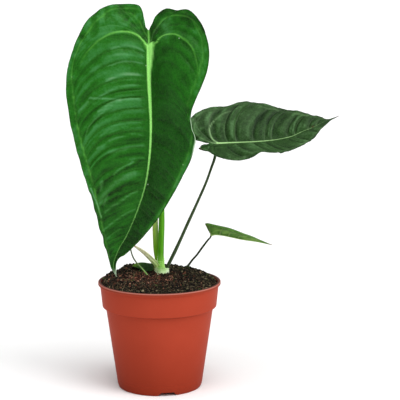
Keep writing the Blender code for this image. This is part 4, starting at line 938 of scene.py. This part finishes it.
leftStalk = {
    **stalkBase, "node": "petiole_left", "material": "thinPaleStalk",
    "points": mm(
        (-7, 1.8, 104, 0.8), (-9.8, 1.2, 107.5, 0.8), (-12.2, 0.5, 110.8, 0.8), (-17.3, -0.5, 117.4, 0.7),
        (-22.6, -1.5, 123.6, 0.7), (-25.7, -2, 128.9, 0.7), (-27.3, -2.4, 134, 0.7),
        (-28.5, -2.6, 145, 0.7), (-29.2, -2.4, 162, 0.7), (-29.6, -1.6, 178, 0.7), (-30.2, 0.2, 185, 0.8),
    ),
    "leaf": leftLeaf, "seatRadius": 0.0007, "stations": 90, "seed": 8,
    "colors": ("#5E6A50", "#78866A"), "foot": "#8FB868", "footShares": (0.17, 0.26), "side": "#8C9A7C",
}
soilStalk = {
    **stalkBase, "node": "petiole_soil", "material": "thinOliveStalk",
    "points": mm(
        (-6.8, 18.5, 104, 0.8), (-6.2, 19, 109, 0.8), (-6, 19.8, 111.5, 0.7), (-6.4, 21, 113.2, 0.7),
        (-8, 22.5, 114.4, 0.7),
    ),
    "leaf": soilLeaf, "seatRadius": 0.0006, "stations": 40, "seed": 9,
    "colors": ("#5A5A2C", "#7A7A42"), "foot": "#4A4424", "footShares": (0.05, 0.4), "side": "#84844C",
}

makeStalk("mainStalk", mainStalk)
makeStalk("furledLeaf", furledLeaf)
makeStalk("rightStalk", rightStalk)
makeStalk("lowRightStalk", lowRightStalk)
makeStalk("leftStalk", leftStalk)
makeStalk("soilStalk", soilStalk)


# Crown and drying sheath

crown = {
    "trunk": mm(
        (0.5, 8.8, 98, 4.6), (0.6, 8.6, 104, 5.6), (0.8, 8.4, 109.5, 5.5), (0.8, 8, 115, 4.8),
        (0.8, 7.6, 120, 4.1), (1, 7.2, 126, 3.4), (1.2, 6.9, 131, 2.7),
    ),
    "back": mm(
        (0, 11.5, 98, 3), (-1, 12.6, 105, 3.7), (-1.6, 13.1, 111, 3.5), (-2, 13.3, 117, 3),
        (-2.4, 13.2, 123, 2.3),
    ),
    "nub": mm(
        (2, 9.5, 101, 4), (4.2, 10, 106, 3.9), (5.9, 10.7, 110.5, 3.2), (6.9, 11.3, 114, 2.3),
        (7.9, 11.7, 117.4, 1.2),
    ),
    "rings": 0.0022, "ringDepth": 0.00015, "uneven": 0.06, "lumpSize": 0.003, "streakSize": 0.0016,
    "paleShares": {"trunk": 1, "back": 1, "nub": 0.45},
    # the foot tone is the stems' own pale base, brightened further as painted light; the side tone is
    # painted light on the shaded -X side
    "material": "paleStemBase", "colors": ("#86CC4C", "#C8F098"), "stripe": 0.8, "foot": "#F8FFE4",
    "footShares": (0.2, 0.6), "side": "#F0FFD0", "paintedSideShare": 1.0, "roughness": 0.42,
}


def makeCrown():
    # three overlapping stems with shallow rings, r(1 + d cos(2 pi z / ring)), as the leaf scars leave
    parts, faceParts, colorParts, count = [], [], [], 0
    ring, share = circle(36)[None], np.linspace(0, 1, 60)
    for seed, key in enumerate(("trunk", "back", "nub")):
        path = curveThrough(crown[key], share)
        radius = path[:, 3:4] + crown["ringDepth"] * np.cos(2 * np.pi * path[:, 2:3] / crown["rings"])
        lumps = softNoise(path[:, None, :3] + ring * 0.004, crown["lumpSize"], seed + 40)
        radius = radius * (1 + crown["uneven"] * lumps)
        tube = path[:, None, :3] + ring * radius[..., None]
        points, faces = skinOver(tube, path[0, :3], path[-1, :3])
        stripe = 0.5 + 0.5 * softNoise(tube * [1, 1, 0.2], crown["streakSize"], seed + 50)
        pale = share[:, None] * crown["paleShares"][key]
        # the third channel is the -X side in shade, which takes the side tone as painted light
        shade = np.stack(np.broadcast_arrays(stripe, pale, 0.5 - 0.5 * ring[..., 0]), -1).reshape(-1, 3)
        parts.append(points)
        faceParts.append(faces + count)
        colorParts.append(np.concatenate([shade, shade[:1], shade[-1:]]))
        count += len(points)
    return addPiece("paleCrown", np.concatenate(parts), np.concatenate(faceParts),
                    [stalkMaterial(crown)], np.concatenate(colorParts), None, 60, ["crown"])


sheath = {
    "path": mm(
        (-1.6, 6.8, 113), (-2.4, 5, 116.8), (-4.2, 3.3, 120.6), (-7.8, 2.1, 125.1), (-12.3, 1.4, 129.9),
        (-17.9, 0.7, 134.8), (-24, 0, 138.8),
    ),
    "out": (-0.5, -0.87, 0.0), "curl": 0.0058, "thickness": 0.0005,
    "ripple": 0.00022, "crumple": 0.00015, "ragged": 0.0018, "grain": 0.003,
    "halfWidths": (0.0036, 0.0036, 0.0034, 0.0029, 0.0024, 0.0018, 0.0006),
    "colors": ("#D2D29A", "#F4F4D0"), "greenBase": "#C4F084", "edge": "#C0A284",
}


def makeSheath():
    # an arc across the path, P = path + W r sin(a) - N r (1 - cos(a)), rippled and ragged at its tip
    rows, columns = 110, 25
    share = np.linspace(0, 1, rows)
    path = curveThrough(sheath["path"], share)
    tangent = unit(np.gradient(path, axis=0))
    out = np.array(sheath["out"])
    wide = unit(np.cross(tangent, out))
    out = unit(np.cross(wide, tangent))
    half = np.interp(share, np.linspace(0, 1, len(sheath["halfWidths"])), sheath["halfWidths"])
    v = np.linspace(-1, 1, columns)
    angle = half[:, None] / sheath["curl"] * v[None]
    sheet = (path[:, None] + wide[:, None] * (sheath["curl"] * np.sin(angle))[..., None]
             - out[:, None] * (sheath["curl"] * (1 - np.cos(angle)))[..., None])
    ripple = sheath["ripple"] * np.sin(7 * v + 5 * share[:, None])
    ripple = ripple + sheath["crumple"] * softNoise(sheet, sheath["grain"], 61)
    ragged = sheath["ragged"] * softNoise(np.stack([v * 0.01, v * 0, v * 0], -1), sheath["grain"], 62)
    sheet = sheet + out[:, None] * ripple[..., None]
    sheet = sheet + tangent[:, None] * (ragged[None] * smooth((share[:, None] - 0.8) / 0.2))[..., None]
    index = np.arange(rows * columns).reshape(rows, columns)
    faces = gridTriangles(index)
    flat = sheet.reshape(-1, 3)
    normal = pointNormals(flat, faces)
    if (normal @ np.array(sheath["out"])).sum() < 0:
        faces, normal = faces[:, ::-1], -normal
    back = flat - normal * sheath["thickness"]
    low, sides = rimFaces(faces, len(flat))
    fibres = np.stack(np.broadcast_arrays(v[None] * 0.02, share[:, None] * 0.01, 0), -1)
    streak = 0.5 + 0.5 * softNoise(fibres, sheath["grain"], 63)
    green = smooth(1.25 - (share[:, None] + 0.2 * streak) / 0.6)
    border = smooth((np.abs(v)[None] - 0.72) / 0.28) * (0.6 - 0.4 * (v[None] > 0))
    border = border * smooth((share[:, None] - 0.35) / 0.3)
    border = np.maximum(border, smooth((share[:, None] - 0.93) / 0.07))
    colors = np.stack([streak, green, border], -1).reshape(-1, 3)
    return addPiece("dryingSheath", np.concatenate([flat, back]), np.concatenate([faces, low, sides]),
                    [sheathMaterial()], np.concatenate([colors, colors]), None, 60, ["cataphyll"])


def sheathMaterial():
    # a leaf sheath that dries to paper: pale and matt, still green at its base and brown at the edge
    dried, papery = sheath["colors"]
    material, surface, add = startMaterial("dryingPaperySheath", dried, 0.55, Specular_IOR_Level=0.2)
    place, (streak, green, border, _) = readPattern(add)
    speckle = add("TexNoise", {"Scale": 1 / 0.0012, "Detail": 3.0}, {"Vector": place})
    tone = add("Math", {"operation": "MULTIPLY_ADD", 1: 0.5}, {0: speckle, 2: streak})
    tone = add("Math", {"operation": "SUBTRACT", 1: 0.25, "use_clamp": True}, {0: tone})
    color = add("Mix", {"data_type": "RGBA", 6: dried, 7: papery}, {0: tone}, 2)
    for share, tint in ((green, sheath["greenBase"]), (border, sheath["edge"])):
        color = add("Mix", {"data_type": "RGBA", 7: tint}, {0: share, 6: color}, 2)
    bump = add("Bump", {"Strength": 0.5, "Distance": 0.0001}, {"Height": speckle})
    linkSurface(surface, Base_Color=color, Normal=bump)
    return material


makeCrown()
makeSheath()


# Pot

pot = {
    "rimRadius": 0.06, "height": 0.105, "wall": 0.001, "lipWidth": 0.0019, "lipDepth": 0.0029,
    "collarFootRadius": 0.0559, "collarFoot": 0.0806, "stepFoot": 0.0797, "bodyTopRadius": 0.0527,
    "footRadius": 0.0418, "beadHeight": 0.0095, "beadDepth": 0.0002, "footRing": 0.0035,
    "floorUnderside": 0.004, "floorThickness": 0.0012, "padRadius": 0.0095,
    "notches": 3, "firstNotch": -78, "notchHeight": 0.0036, "notchTop": 0.006, "notchFoot": 0.0095,
    "drainRadius": 0.0035, "drainCircle": 0.026, "drillFrom": 0.002, "drillTo": 0.007, "steps": 288,
    "cloudSize": 0.045, "dustSize": 0.0016, "skinSize": 0.004,
    # the foot tint is painted shade low down and under the collar; on the lip the shade tint is painted
    # shade and the pale edge tint a painted highlight
    "color": "#B1442F", "dark": "#A03C28", "foot": "#8A301D", "roughness": 0.46,
    "paintedLipHighlight": "#B88074", "darkLipTop": "#54403A", "paintedLipShade": "#6A3426", "speck": "#D08A76",
}
notchAngles = math.radians(pot["firstNotch"]) + np.arange(pot["notches"]) * 2 * np.pi / pot["notches"]


def roundedProfile(corners):
    # each corner (radius, z, rounding) becomes a curve (1-t)^2 A + 2t(1-t) corner + t^2 B
    corners = np.array(corners, float)
    before = np.roll(corners, 1, axis=0)
    after = np.roll(corners, -1, axis=0)
    t = np.linspace(0, 1, 7)[None, :, None]
    here = corners[:, None, :2]
    size = corners[:, None, 2:3]
    a = here + unit(before[:, None, :2] - here) * size
    b = here + unit(after[:, None, :2] - here) * size
    arcs = (1 - t) ** 2 * a + 2 * t * (1 - t) * here + t * t * b
    rows = [arc if corner[2] > 0 else arc[:1] for arc, corner in zip(arcs, corners)]
    return np.concatenate(rows)


def makePot():
    # the profile turned round Z; foot points inside a notch rise to its roof, z = max(z, roof)
    rim, top, wall, lip = pot["rimRadius"], pot["height"], pot["wall"], pot["height"] - pot["lipDepth"]
    foot, body, collar = pot["footRadius"], pot["bodyTopRadius"], pot["collarFootRadius"]
    collarTop, ring = rim - pot["lipWidth"], foot - pot["footRing"]
    under, step, bead = pot["floorUnderside"], pot["stepFoot"], pot["beadHeight"]
    floor = under + pot["floorThickness"]
    beadRadius = foot + (body - foot) / (step - 0.003) * (bead - 0.003)
    # (radius, height, rounding) from the floor up inside, over the lip, down outside and under the foot
    profile = roundedProfile([
        (foot - wall - 0.0003, floor, 0.001),
        (body - wall, step + 0.0009, 0.001),
        (collar - wall, pot["collarFoot"] + 0.0009, 0.001),
        (collarTop - wall, top, 0.0009),
        (rim, top, 0.001),
        (rim, lip, 0.0008),
        (collarTop, lip - 0.0003, 0.0007),
        (collar, pot["collarFoot"], 0.0006),
        (body, step, 0.0007),
        (beadRadius, bead + 0.0006, 0.0003),
        (beadRadius - pot["beadDepth"], bead, 0.0002),
        (beadRadius - 0.0001, bead - 0.0006, 0.0003),
        (foot - 0.0001, 0.003, 0.0012),
        (foot - 0.0013, 0, 0.0006),
        (ring, 0, 0.0004),
        (ring - 0.0004, under, 0.0005),
        (pot["padRadius"] + 0.0006, under, 0.0003),
        (pot["padRadius"], 0, 0.0003),
    ])
    steps = pot["steps"]
    turn = np.linspace(0, 2 * np.pi, steps, endpoint=False)
    radius = profile[:, None, 0]
    points = np.stack(np.broadcast_arrays(radius * np.cos(turn)[None], radius * np.sin(turn)[None],
                                          profile[:, None, 1]), -1)
    for angle in notchAngles:
        away = np.abs((turn - angle + np.pi) % (2 * np.pi) - np.pi)[None] * radius
        roof = np.clip((pot["notchFoot"] - away) / (pot["notchFoot"] - pot["notchTop"]), 0, 1)
        points[..., 2] = np.maximum(points[..., 2], pot["notchHeight"] * roof * (radius > ring - 0.001))
    flat, faces = skinOver(points, (0, 0, floor), (0, 0, 0))
    piece = addPiece("nurseryPot", flat, faces, [potMaterial()], None, None, 40, ["pot"])
    drillDrains(piece)
    return piece


def potMaterial():
    # injection-moulded polypropylene coloured like terracotta: an even satin skin
    material, surface, add = startMaterial("terracottaPolypropylene", pot["color"], pot["roughness"],
                                           IOR=1.49, Specular_IOR_Level=0.03)
    place = add("TexCoord", out=3)
    cloud = add("TexNoise", {"Scale": 1 / pot["cloudSize"], "Detail": 2.0}, {"Vector": place})
    height = add("SeparateXYZ", {}, {0: place}, 2)
    outward = add("VectorMath", {"operation": "MULTIPLY", 1: (1, 1, 0)}, {0: place})
    radius = add("VectorMath", {"operation": "LENGTH"}, {0: outward}, 1)
    # painted shade: darker towards the foot, and a painted shadow line under the collar's edge, both in the
    # foot tint
    crease = pot["stepFoot"] / pot["height"]
    whole = add("Math", {"operation": "DIVIDE", 1: pot["height"]}, {0: height})
    low = add("ValToRGB", {"stops": [
        (0, "#FFFFFF"), (0.57, "#000000"), (crease - 0.006, "#000000"), (crease, "#FFFFFF"),
        (crease + 0.006, "#FFFFFF"), (crease + 0.01, "#000000"),
    ]}, {0: whole})
    # the lip: painted shade over the top few millimetres, a darker ring on its top, and a painted highlight
    # along its outer edge; each is a share that changes between two heights or radii, counted back from the
    # top and from the rim
    onTop, upper, lip, within, outer = [
        add("MapRange",
            {"From Min": edge - first, "From Max": edge - last, "To Min": start, "To Max": end},
            {"Value": value})
        for value, edge, first, last, start, end in (
            (height, pot["height"], 0.0006, 0.0002, 0.0, 1.0),
            (height, pot["height"], 0.0011, 0.0005, 0.0, 0.7),
            (height, pot["height"], 0.003, 0.002, 0.0, 0.4),
            (radius, pot["rimRadius"], 0.0012, 0.0006, 0.9, 0.0),
            (radius, pot["rimRadius"], 0.0007, 0.0003, 0.0, 1.0),
        )
    ]
    # a darker ring on the inner part of the lip's top
    darkLipTop = add("Math", {"operation": "MULTIPLY"}, {0: onTop, 1: within})
    # a painted highlight along the lip's outer edge
    paintedLipHighlight = add("Math", {"operation": "MULTIPLY"}, {0: upper, 1: outer})
    dust = add("TexNoise", {"Scale": 1 / pot["dustSize"], "Detail": 3.0}, {"Vector": place})
    speck = add("MapRange", {"From Min": 0.68, "From Max": 0.78, "To Max": 0.12}, {"Value": dust})
    color = add("Mix", {"data_type": "RGBA", 6: pot["dark"], 7: pot["color"]}, {0: cloud}, 2)
    for share, tint in ((low, "foot"), (lip, "paintedLipShade"), (paintedLipHighlight, "paintedLipHighlight"), (darkLipTop, "darkLipTop"),
                        (speck, "speck")):
        color = add("Mix", {"data_type": "RGBA", 7: pot[tint]}, {0: share, 6: color}, 2)
    wear = add("MapRange", {"To Min": pot["roughness"] - 0.05, "To Max": pot["roughness"] + 0.08},
               {"Value": dust})
    skin = add("TexNoise", {"Scale": 1 / pot["skinSize"], "Detail": 2.0}, {"Vector": place})
    bump = add("Bump", {"Strength": 0.25, "Distance": 0.0002}, {"Height": skin})
    linkSurface(surface, Base_Color=color, Roughness=wear, Normal=bump)
    return material


def drillDrains(piece):
    # the three drain holes are cut with round bars
    cut = piece.modifiers.new("drains", "BOOLEAN")
    cut.solver = "EXACT"
    bars, barFaces, count = [], [], 0
    section = pot["drainRadius"] * circle(40)
    for angle in notchAngles:
        centre = pot["drainCircle"] * np.array([math.cos(angle), math.sin(angle), 0])
        ends = centre + [[0, 0, pot["drillFrom"]], [0, 0, pot["drillTo"]]]
        points, faces = skinOver(ends[:, None] + section, *ends)
        bars.append(points)
        barFaces.append(faces + count)
        count += len(points)
    barMesh = bpy.data.meshes.new("drainBars")
    barMesh.from_pydata(np.concatenate(bars), [], np.concatenate(barFaces))
    bar = addObject("drainBars", barMesh)
    cut.object = bar
    bpy.context.view_layer.update()
    shown = piece.evaluated_get(bpy.context.evaluated_depsgraph_get())
    made = bpy.data.meshes.new_from_object(shown)
    piece.modifiers.clear()
    piece.data = made
    bpy.data.objects.remove(bar)


makePot()


# Soil

soil = {
    "edge": 0.1022, "radius": 0.0568, "rise": 0.008, "backRise": 0.001, "shoulder": 0.007,
    "shoulderChange": 0.0055, "steepSide": (-0.447, 0.894), "clod": 0.001,
    "clodSizes": (0.007, 0.003, 0.0013),
    # centre, radius and height of a heap and a dip; radius and height of the corners of the side
    "mounds": ((-0.027, 0.03, 0.012, 0.0022), (0.001, -0.001, 0.011, -0.0018)),
    "side": ((0.0544, 0.0822), (0.0512, 0.0814), (0.0398, 0.0055)),
    "crumbs": 8600, "crumbSizes": (0.0004, 0.0013), "fibres": 2400, "fibreLengths": (0.002, 0.01),
    "fibreRadius": 0.0001, "fibreRadiusChange": 0.00016,
    "fibreMat": (-0.01, -0.012), "matRadii": (0.034, 0.022),
    "banked": 260, "bankCentre": (0.0024, 0.0086), "bankRadii": (0.0052, 0.0082), "bankRise": 0.0016,
}
# plain peat and bits of green, then the reddish fibre mat before the crown
soilColors = np.array([[toLinear(c)[:3] for c in row] for row in (
    ("#0F0C08", "#19140E", "#262016", "#393022", "#504632", "#6A6048", "#847A60", "#3C4A26"),
    ("#170D09", "#2A1711", "#43251A", "#5E3829", "#7A503E", "#946C58", "#A88A74", "#483B1F"),
)])
crumbShares = (0.25, 0.24, 0.2, 0.14, 0.09, 0.04, 0.01, 0.03)
fibreShares = (0.04, 0.06, 0.12, 0.22, 0.24, 0.18, 0.09, 0.05)


def dryTone(spots):
    # the soil is paler on the left
    return 1.3 - 0.4 * smooth((spots[:, :1] + 0.04) / 0.05)


def peatColors(random, spots, shares):
    # the palette row is drawn with chance exp(-(distance from the mat / its radii)^2)
    centre, radii = np.array(soil["fibreMat"]), np.array(soil["matRadii"])
    chance = np.exp(-(((spots[:, :2] - centre) / radii) ** 2).sum(axis=1))
    row = (random.random(len(spots)) < chance).astype(int)
    return dryTone(spots) * soilColors[row, random.choice(len(shares), len(spots), p=shares)]


def soilHeight(x, y):
    # edge + rise (1 - exp(-distance from the edge / shoulder)), a heap, a dip and clods of noise
    inward = np.maximum(soil["radius"] - np.hypot(x, y), 0)
    rise = soil["rise"] + soil["backRise"] * y / soil["radius"]
    for centreX, centreY, radius, height in soil["mounds"]:
        rise = rise + height * np.exp(-(((x - centreX) ** 2 + (y - centreY) ** 2) / radius**2))
    steep = (x * soil["steepSide"][0] + y * soil["steepSide"][1]) / soil["radius"]
    shoulder = soil["shoulder"] - soil["shoulderChange"] * steep
    flat = np.stack([x, y, 0 * x], -1)
    large, medium, small = soil["clodSizes"]
    clods = softNoise(flat, large, 71) + 0.6 * softNoise(flat, medium, 72)
    clods = (clods + 0.35 * softNoise(flat, small, 73)) * (0.4 + 0.6 * np.clip(inward / 0.004, 0, 1))
    return soil["edge"] + rise * (1 - np.exp(-inward / shoulder)) + soil["clod"] * clods


def makeSoil():
    # rings of points from the centre out carry the height, and the last rings run down the pot
    rings, around = 84, circle(260)
    radius = np.linspace(0, 1, rings + 1)[1:, None] ** 0.8 * soil["radius"]
    x, y = radius * around[:, 0], radius * around[:, 1]
    top = np.stack([x, y, soilHeight(x, y)], -1)
    side = [around * r + [0, 0, z] for r, z in soil["side"]]
    middle = soilHeight(np.zeros(1), np.zeros(1))[0]
    flat, faces = skinOver(np.concatenate([top, side]), (0, 0, middle), (0, 0, soil["side"][-1][1]))
    tone = 0.5 + 0.5 * softNoise(flat, 0.002, 74)
    mix = np.clip(0.15 + 0.75 * softNoise(flat, 0.009, 75), 0, 1)[:, None]
    color = dryTone(flat) * (soilColors[0, 0] * (1 - mix) + soilColors[0, 3] * mix)
    return addPiece("peatSoil", flat, faces, [soilMaterial()], color * (0.6 + 0.8 * tone[:, None]),
                    None, 180, ["soil"])


def soilMaterial():
    # damp peat compost: rough, almost black, with reddish brown fibre; the crumbs carry their own tone
    material, surface, add = startMaterial("dampPeat", "#2A1C12", 0.85, Specular_IOR_Level=0.15)
    place = add("TexCoord", out=3)
    pattern = add("Attribute", {"attribute_name": "pattern"})
    grit = add("TexNoise", {"Scale": 1 / 0.0009, "Detail": 4.0, "Roughness": 0.7}, {"Vector": place})
    shade = add("MapRange", {"From Min": 0.3, "From Max": 0.7, "To Min": 0.55, "To Max": 1.5},
                {"Value": grit})
    color = add("VectorMath", {"operation": "SCALE"}, {0: pattern, "Scale": shade})
    bump = add("Bump", {"Strength": 0.9, "Distance": 0.0005}, {"Height": grit})
    linkSurface(surface, Base_Color=color, Normal=bump)
    return material


def soilSpots(random, count):
    # even spots on the disc: radius = R sqrt(share)
    radius = (soil["radius"] - 0.0012) * np.sqrt(random.random(count))
    turn = random.random(count) * 2 * np.pi
    x, y = radius * np.cos(turn), radius * np.sin(turn)
    return np.stack([x, y, soilHeight(x, y)], -1)


def turnedAxes(random, count):
    # three random directions at right angles for each spot
    a = unit(random.normal(size=(count, 3)))
    b = unit(np.cross(a, random.normal(size=(count, 3))))
    return np.stack([a, b, np.cross(a, b)], axis=1)


def makeCrumbs():
    # lumps: a 12-cornered ball, each corner pushed in or out, stretched and turned at random
    random = np.random.default_rng(81)
    golden = (1 + math.sqrt(5)) / 2
    ball = unit(np.array([(-1, golden, 0), (1, golden, 0), (-1, -golden, 0), (1, -golden, 0),
                          (0, -1, golden), (0, 1, golden), (0, -1, -golden), (0, 1, -golden),
                          (golden, 0, -1), (golden, 0, 1), (-golden, 0, -1), (-golden, 0, 1)], float))
    ballFaces = np.array([(0, 11, 5), (0, 5, 1), (0, 1, 7), (0, 7, 10), (0, 10, 11), (1, 5, 9), (5, 11, 4),
                          (11, 10, 2), (10, 7, 6), (7, 1, 8), (3, 9, 4), (3, 4, 2), (3, 2, 6), (3, 6, 8),
                          (3, 8, 9), (4, 9, 5), (2, 4, 11), (6, 2, 10), (8, 6, 7), (9, 8, 1)])
    count = soil["crumbs"]
    low, high = soil["crumbSizes"]
    size = low + (high - low) * random.random(count) ** 4
    stretch = 0.6 + 0.8 * random.random((count, 1, 3))
    lumps = ball[None] * (0.75 + 0.5 * random.random((count, 12, 1))) * stretch * size[:, None, None]
    lumps = np.einsum("nij,njk->nik", lumps, turnedAxes(random, count))
    spots = soilSpots(random, count)
    # some lie banked up round the crown, lower the farther out
    turn, share = random.random((2, soil["banked"]))
    reach = soil["bankRadii"][0] + (soil["bankRadii"][1] - soil["bankRadii"][0]) * share
    x = soil["bankCentre"][0] + reach * np.cos(2 * np.pi * turn)
    y = soil["bankCentre"][1] + reach * np.sin(2 * np.pi * turn)
    spots[: soil["banked"]] = np.stack([x, y, soilHeight(x, y) + soil["bankRise"] * (1 - share) ** 2], -1)
    spots = spots + np.array([0, 0, 1]) * (size * 0.35)[:, None]
    points = (lumps + spots[:, None]).reshape(-1, 3)
    faces = (ballFaces[None] + 12 * np.arange(count)[:, None, None]).reshape(-1, 3)
    color = peatColors(random, spots, crumbShares) * (0.65 + 0.8 * random.random((count, 1)))
    return addPiece("peatCrumbs", points, faces, [soilMaterial()], np.repeat(color, 12, axis=0), None, 180)


def makeFibres():
    # bent threads: a parabola over the soil carried by a three-sided section that thins to its ends
    random = np.random.default_rng(82)
    count, stations = soil["fibres"], 6
    low, high = soil["fibreLengths"]
    length = low + (high - low) * random.random(count) ** 2
    turn = random.random(count) * 2 * np.pi
    t = np.linspace(-0.5, 0.5, stations)[None]
    along = (t * length[:, None])[..., None]
    bend = (random.random((count, 1)) - 0.5) * 1.2
    ahead = np.stack([np.cos(turn), np.sin(turn)], -1)[:, None]
    aside = np.stack([-np.sin(turn), np.cos(turn)], -1)[:, None]
    spots = soilSpots(random, count)[:, None, :2]
    flat = spots + ahead * along + aside * (bend * t * t * length[:, None])[..., None]
    reach = np.linalg.norm(flat, axis=-1, keepdims=True)
    flat = flat * np.minimum(1, (soil["radius"] - 0.0008) / reach)
    arch = (0.25 - t * t) * (random.random((count, 1)) ** 2) * 0.25 * length[:, None]
    z = soilHeight(flat[..., 0], flat[..., 1]) + 0.0004 + arch
    path = np.concatenate([flat, z[..., None]], axis=-1)
    tangent = unit(np.gradient(path, axis=1))
    wide = unit(np.cross(tangent, [0.0, 0.0, 1.0]))
    deep = np.cross(tangent, wide)
    thick = soil["fibreRadius"] + soil["fibreRadiusChange"] * random.random((count, 1)) ** 2
    thick = thick * (1.15 - 1.6 * np.abs(t))
    corners = np.arange(3) * 2 * np.pi / 3
    ring = wide[:, :, None] * np.cos(corners)[:, None] + deep[:, :, None] * np.sin(corners)[:, None]
    points = (path[:, :, None] + ring * thick[:, :, None, None]).reshape(-1, 3)
    rows = np.arange(stations * 3).reshape(stations, 3)
    one = gridTriangles(np.concatenate([rows, rows[:, :1]], axis=1))
    ends = np.array([(0, 1, 2), (3 * stations - 1, 3 * stations - 2, 3 * stations - 3)])
    one = np.concatenate([one, ends[:, ::-1]])
    faces = (one[None] + 3 * stations * np.arange(count)[:, None, None]).reshape(-1, 3)
    normals = pointNormals(points, faces)
    if (normals.reshape(count, stations, 3, 3)[:, 2] * ring[:, 2]).sum() < 0:
        faces = faces[:, ::-1]
    color = peatColors(random, spots[:, 0], fibreShares) * (0.8 + 0.5 * random.random((count, 1)))
    return addPiece("peatFibres", points, faces, [soilMaterial()], np.repeat(color, stations * 3, axis=0),
                    None, 180)


makeSoil()
makeCrumbs()
makeFibres()


# Studio

studio = {
    "floor": "#FAFAFA", "floorSize": 60.0, "world": 0.38,
    # where each wide distant lamp stands, its angle in degrees and its strength
    "lights": {
        "topLight": ((0.12, -0.35, 1.0), 50, 1.95),
        "keyLight": ((0.85, -0.55, 0.6), 40, 1.4),
        "fillLight": ((-0.8, 0.6, 0.7), 40, 0.2),
    },
}


def makeStudio():
    # a white paper floor under an even white sky, and the lamps
    size = studio["floorSize"]
    corners = [(x * size, y * size, 0) for x, y in ((-1, -1), (1, -1), (1, 1), (-1, 1))]
    mesh = bpy.data.meshes.new("floor")
    mesh.from_pydata(corners, [], [(0, 1, 2, 3)])
    mesh.materials.append(startMaterial("whitePaper", studio["floor"], 0.9, Specular_IOR_Level=0.0)[0])
    floor = addObject("floor", mesh)

    world = bpy.data.worlds.new("studio")
    world.use_nodes = True
    bpy.context.scene.world = world
    background = world.node_tree.nodes["Background"]
    background.inputs["Color"].default_value = (1, 1, 1, 1)
    background.inputs["Strength"].default_value = studio["world"]

    # the lamps are far off, so that the floor is as bright far away as it is near
    for name, ((x, y, z), angle, strength) in studio["lights"].items():
        data = bpy.data.lights.new(name, "SUN")
        data.angle = math.radians(angle)
        data.energy = strength
        lamp = addObject(name, data)
        lamp.location = (x, y, z)
        lamp.rotation_euler = (math.atan2(math.hypot(x, y), z), 0, math.atan2(y, x) + math.pi / 2)


# the photograph's view: 9 degrees down, straight along +Y, 1325 pixels of focal length on 400
camera = {"place": (0.0397, -1.27, 0.386), "pitch": 81.0, "focalPixels": 1325, "imagePixels": 400}


def makeCamera():
    data = bpy.data.cameras.new("camera")
    data.sensor_width = 36
    data.lens = camera["focalPixels"] / camera["imagePixels"] * data.sensor_width
    viewer = addObject("camera", data)
    viewer.location = camera["place"]
    viewer.rotation_euler = (math.radians(camera["pitch"]), 0, 0)
    bpy.context.scene.camera = viewer
    bpy.context.scene.view_settings.view_transform = "Standard"


makeStudio()
makeCamera()
print("studio and camera ready")
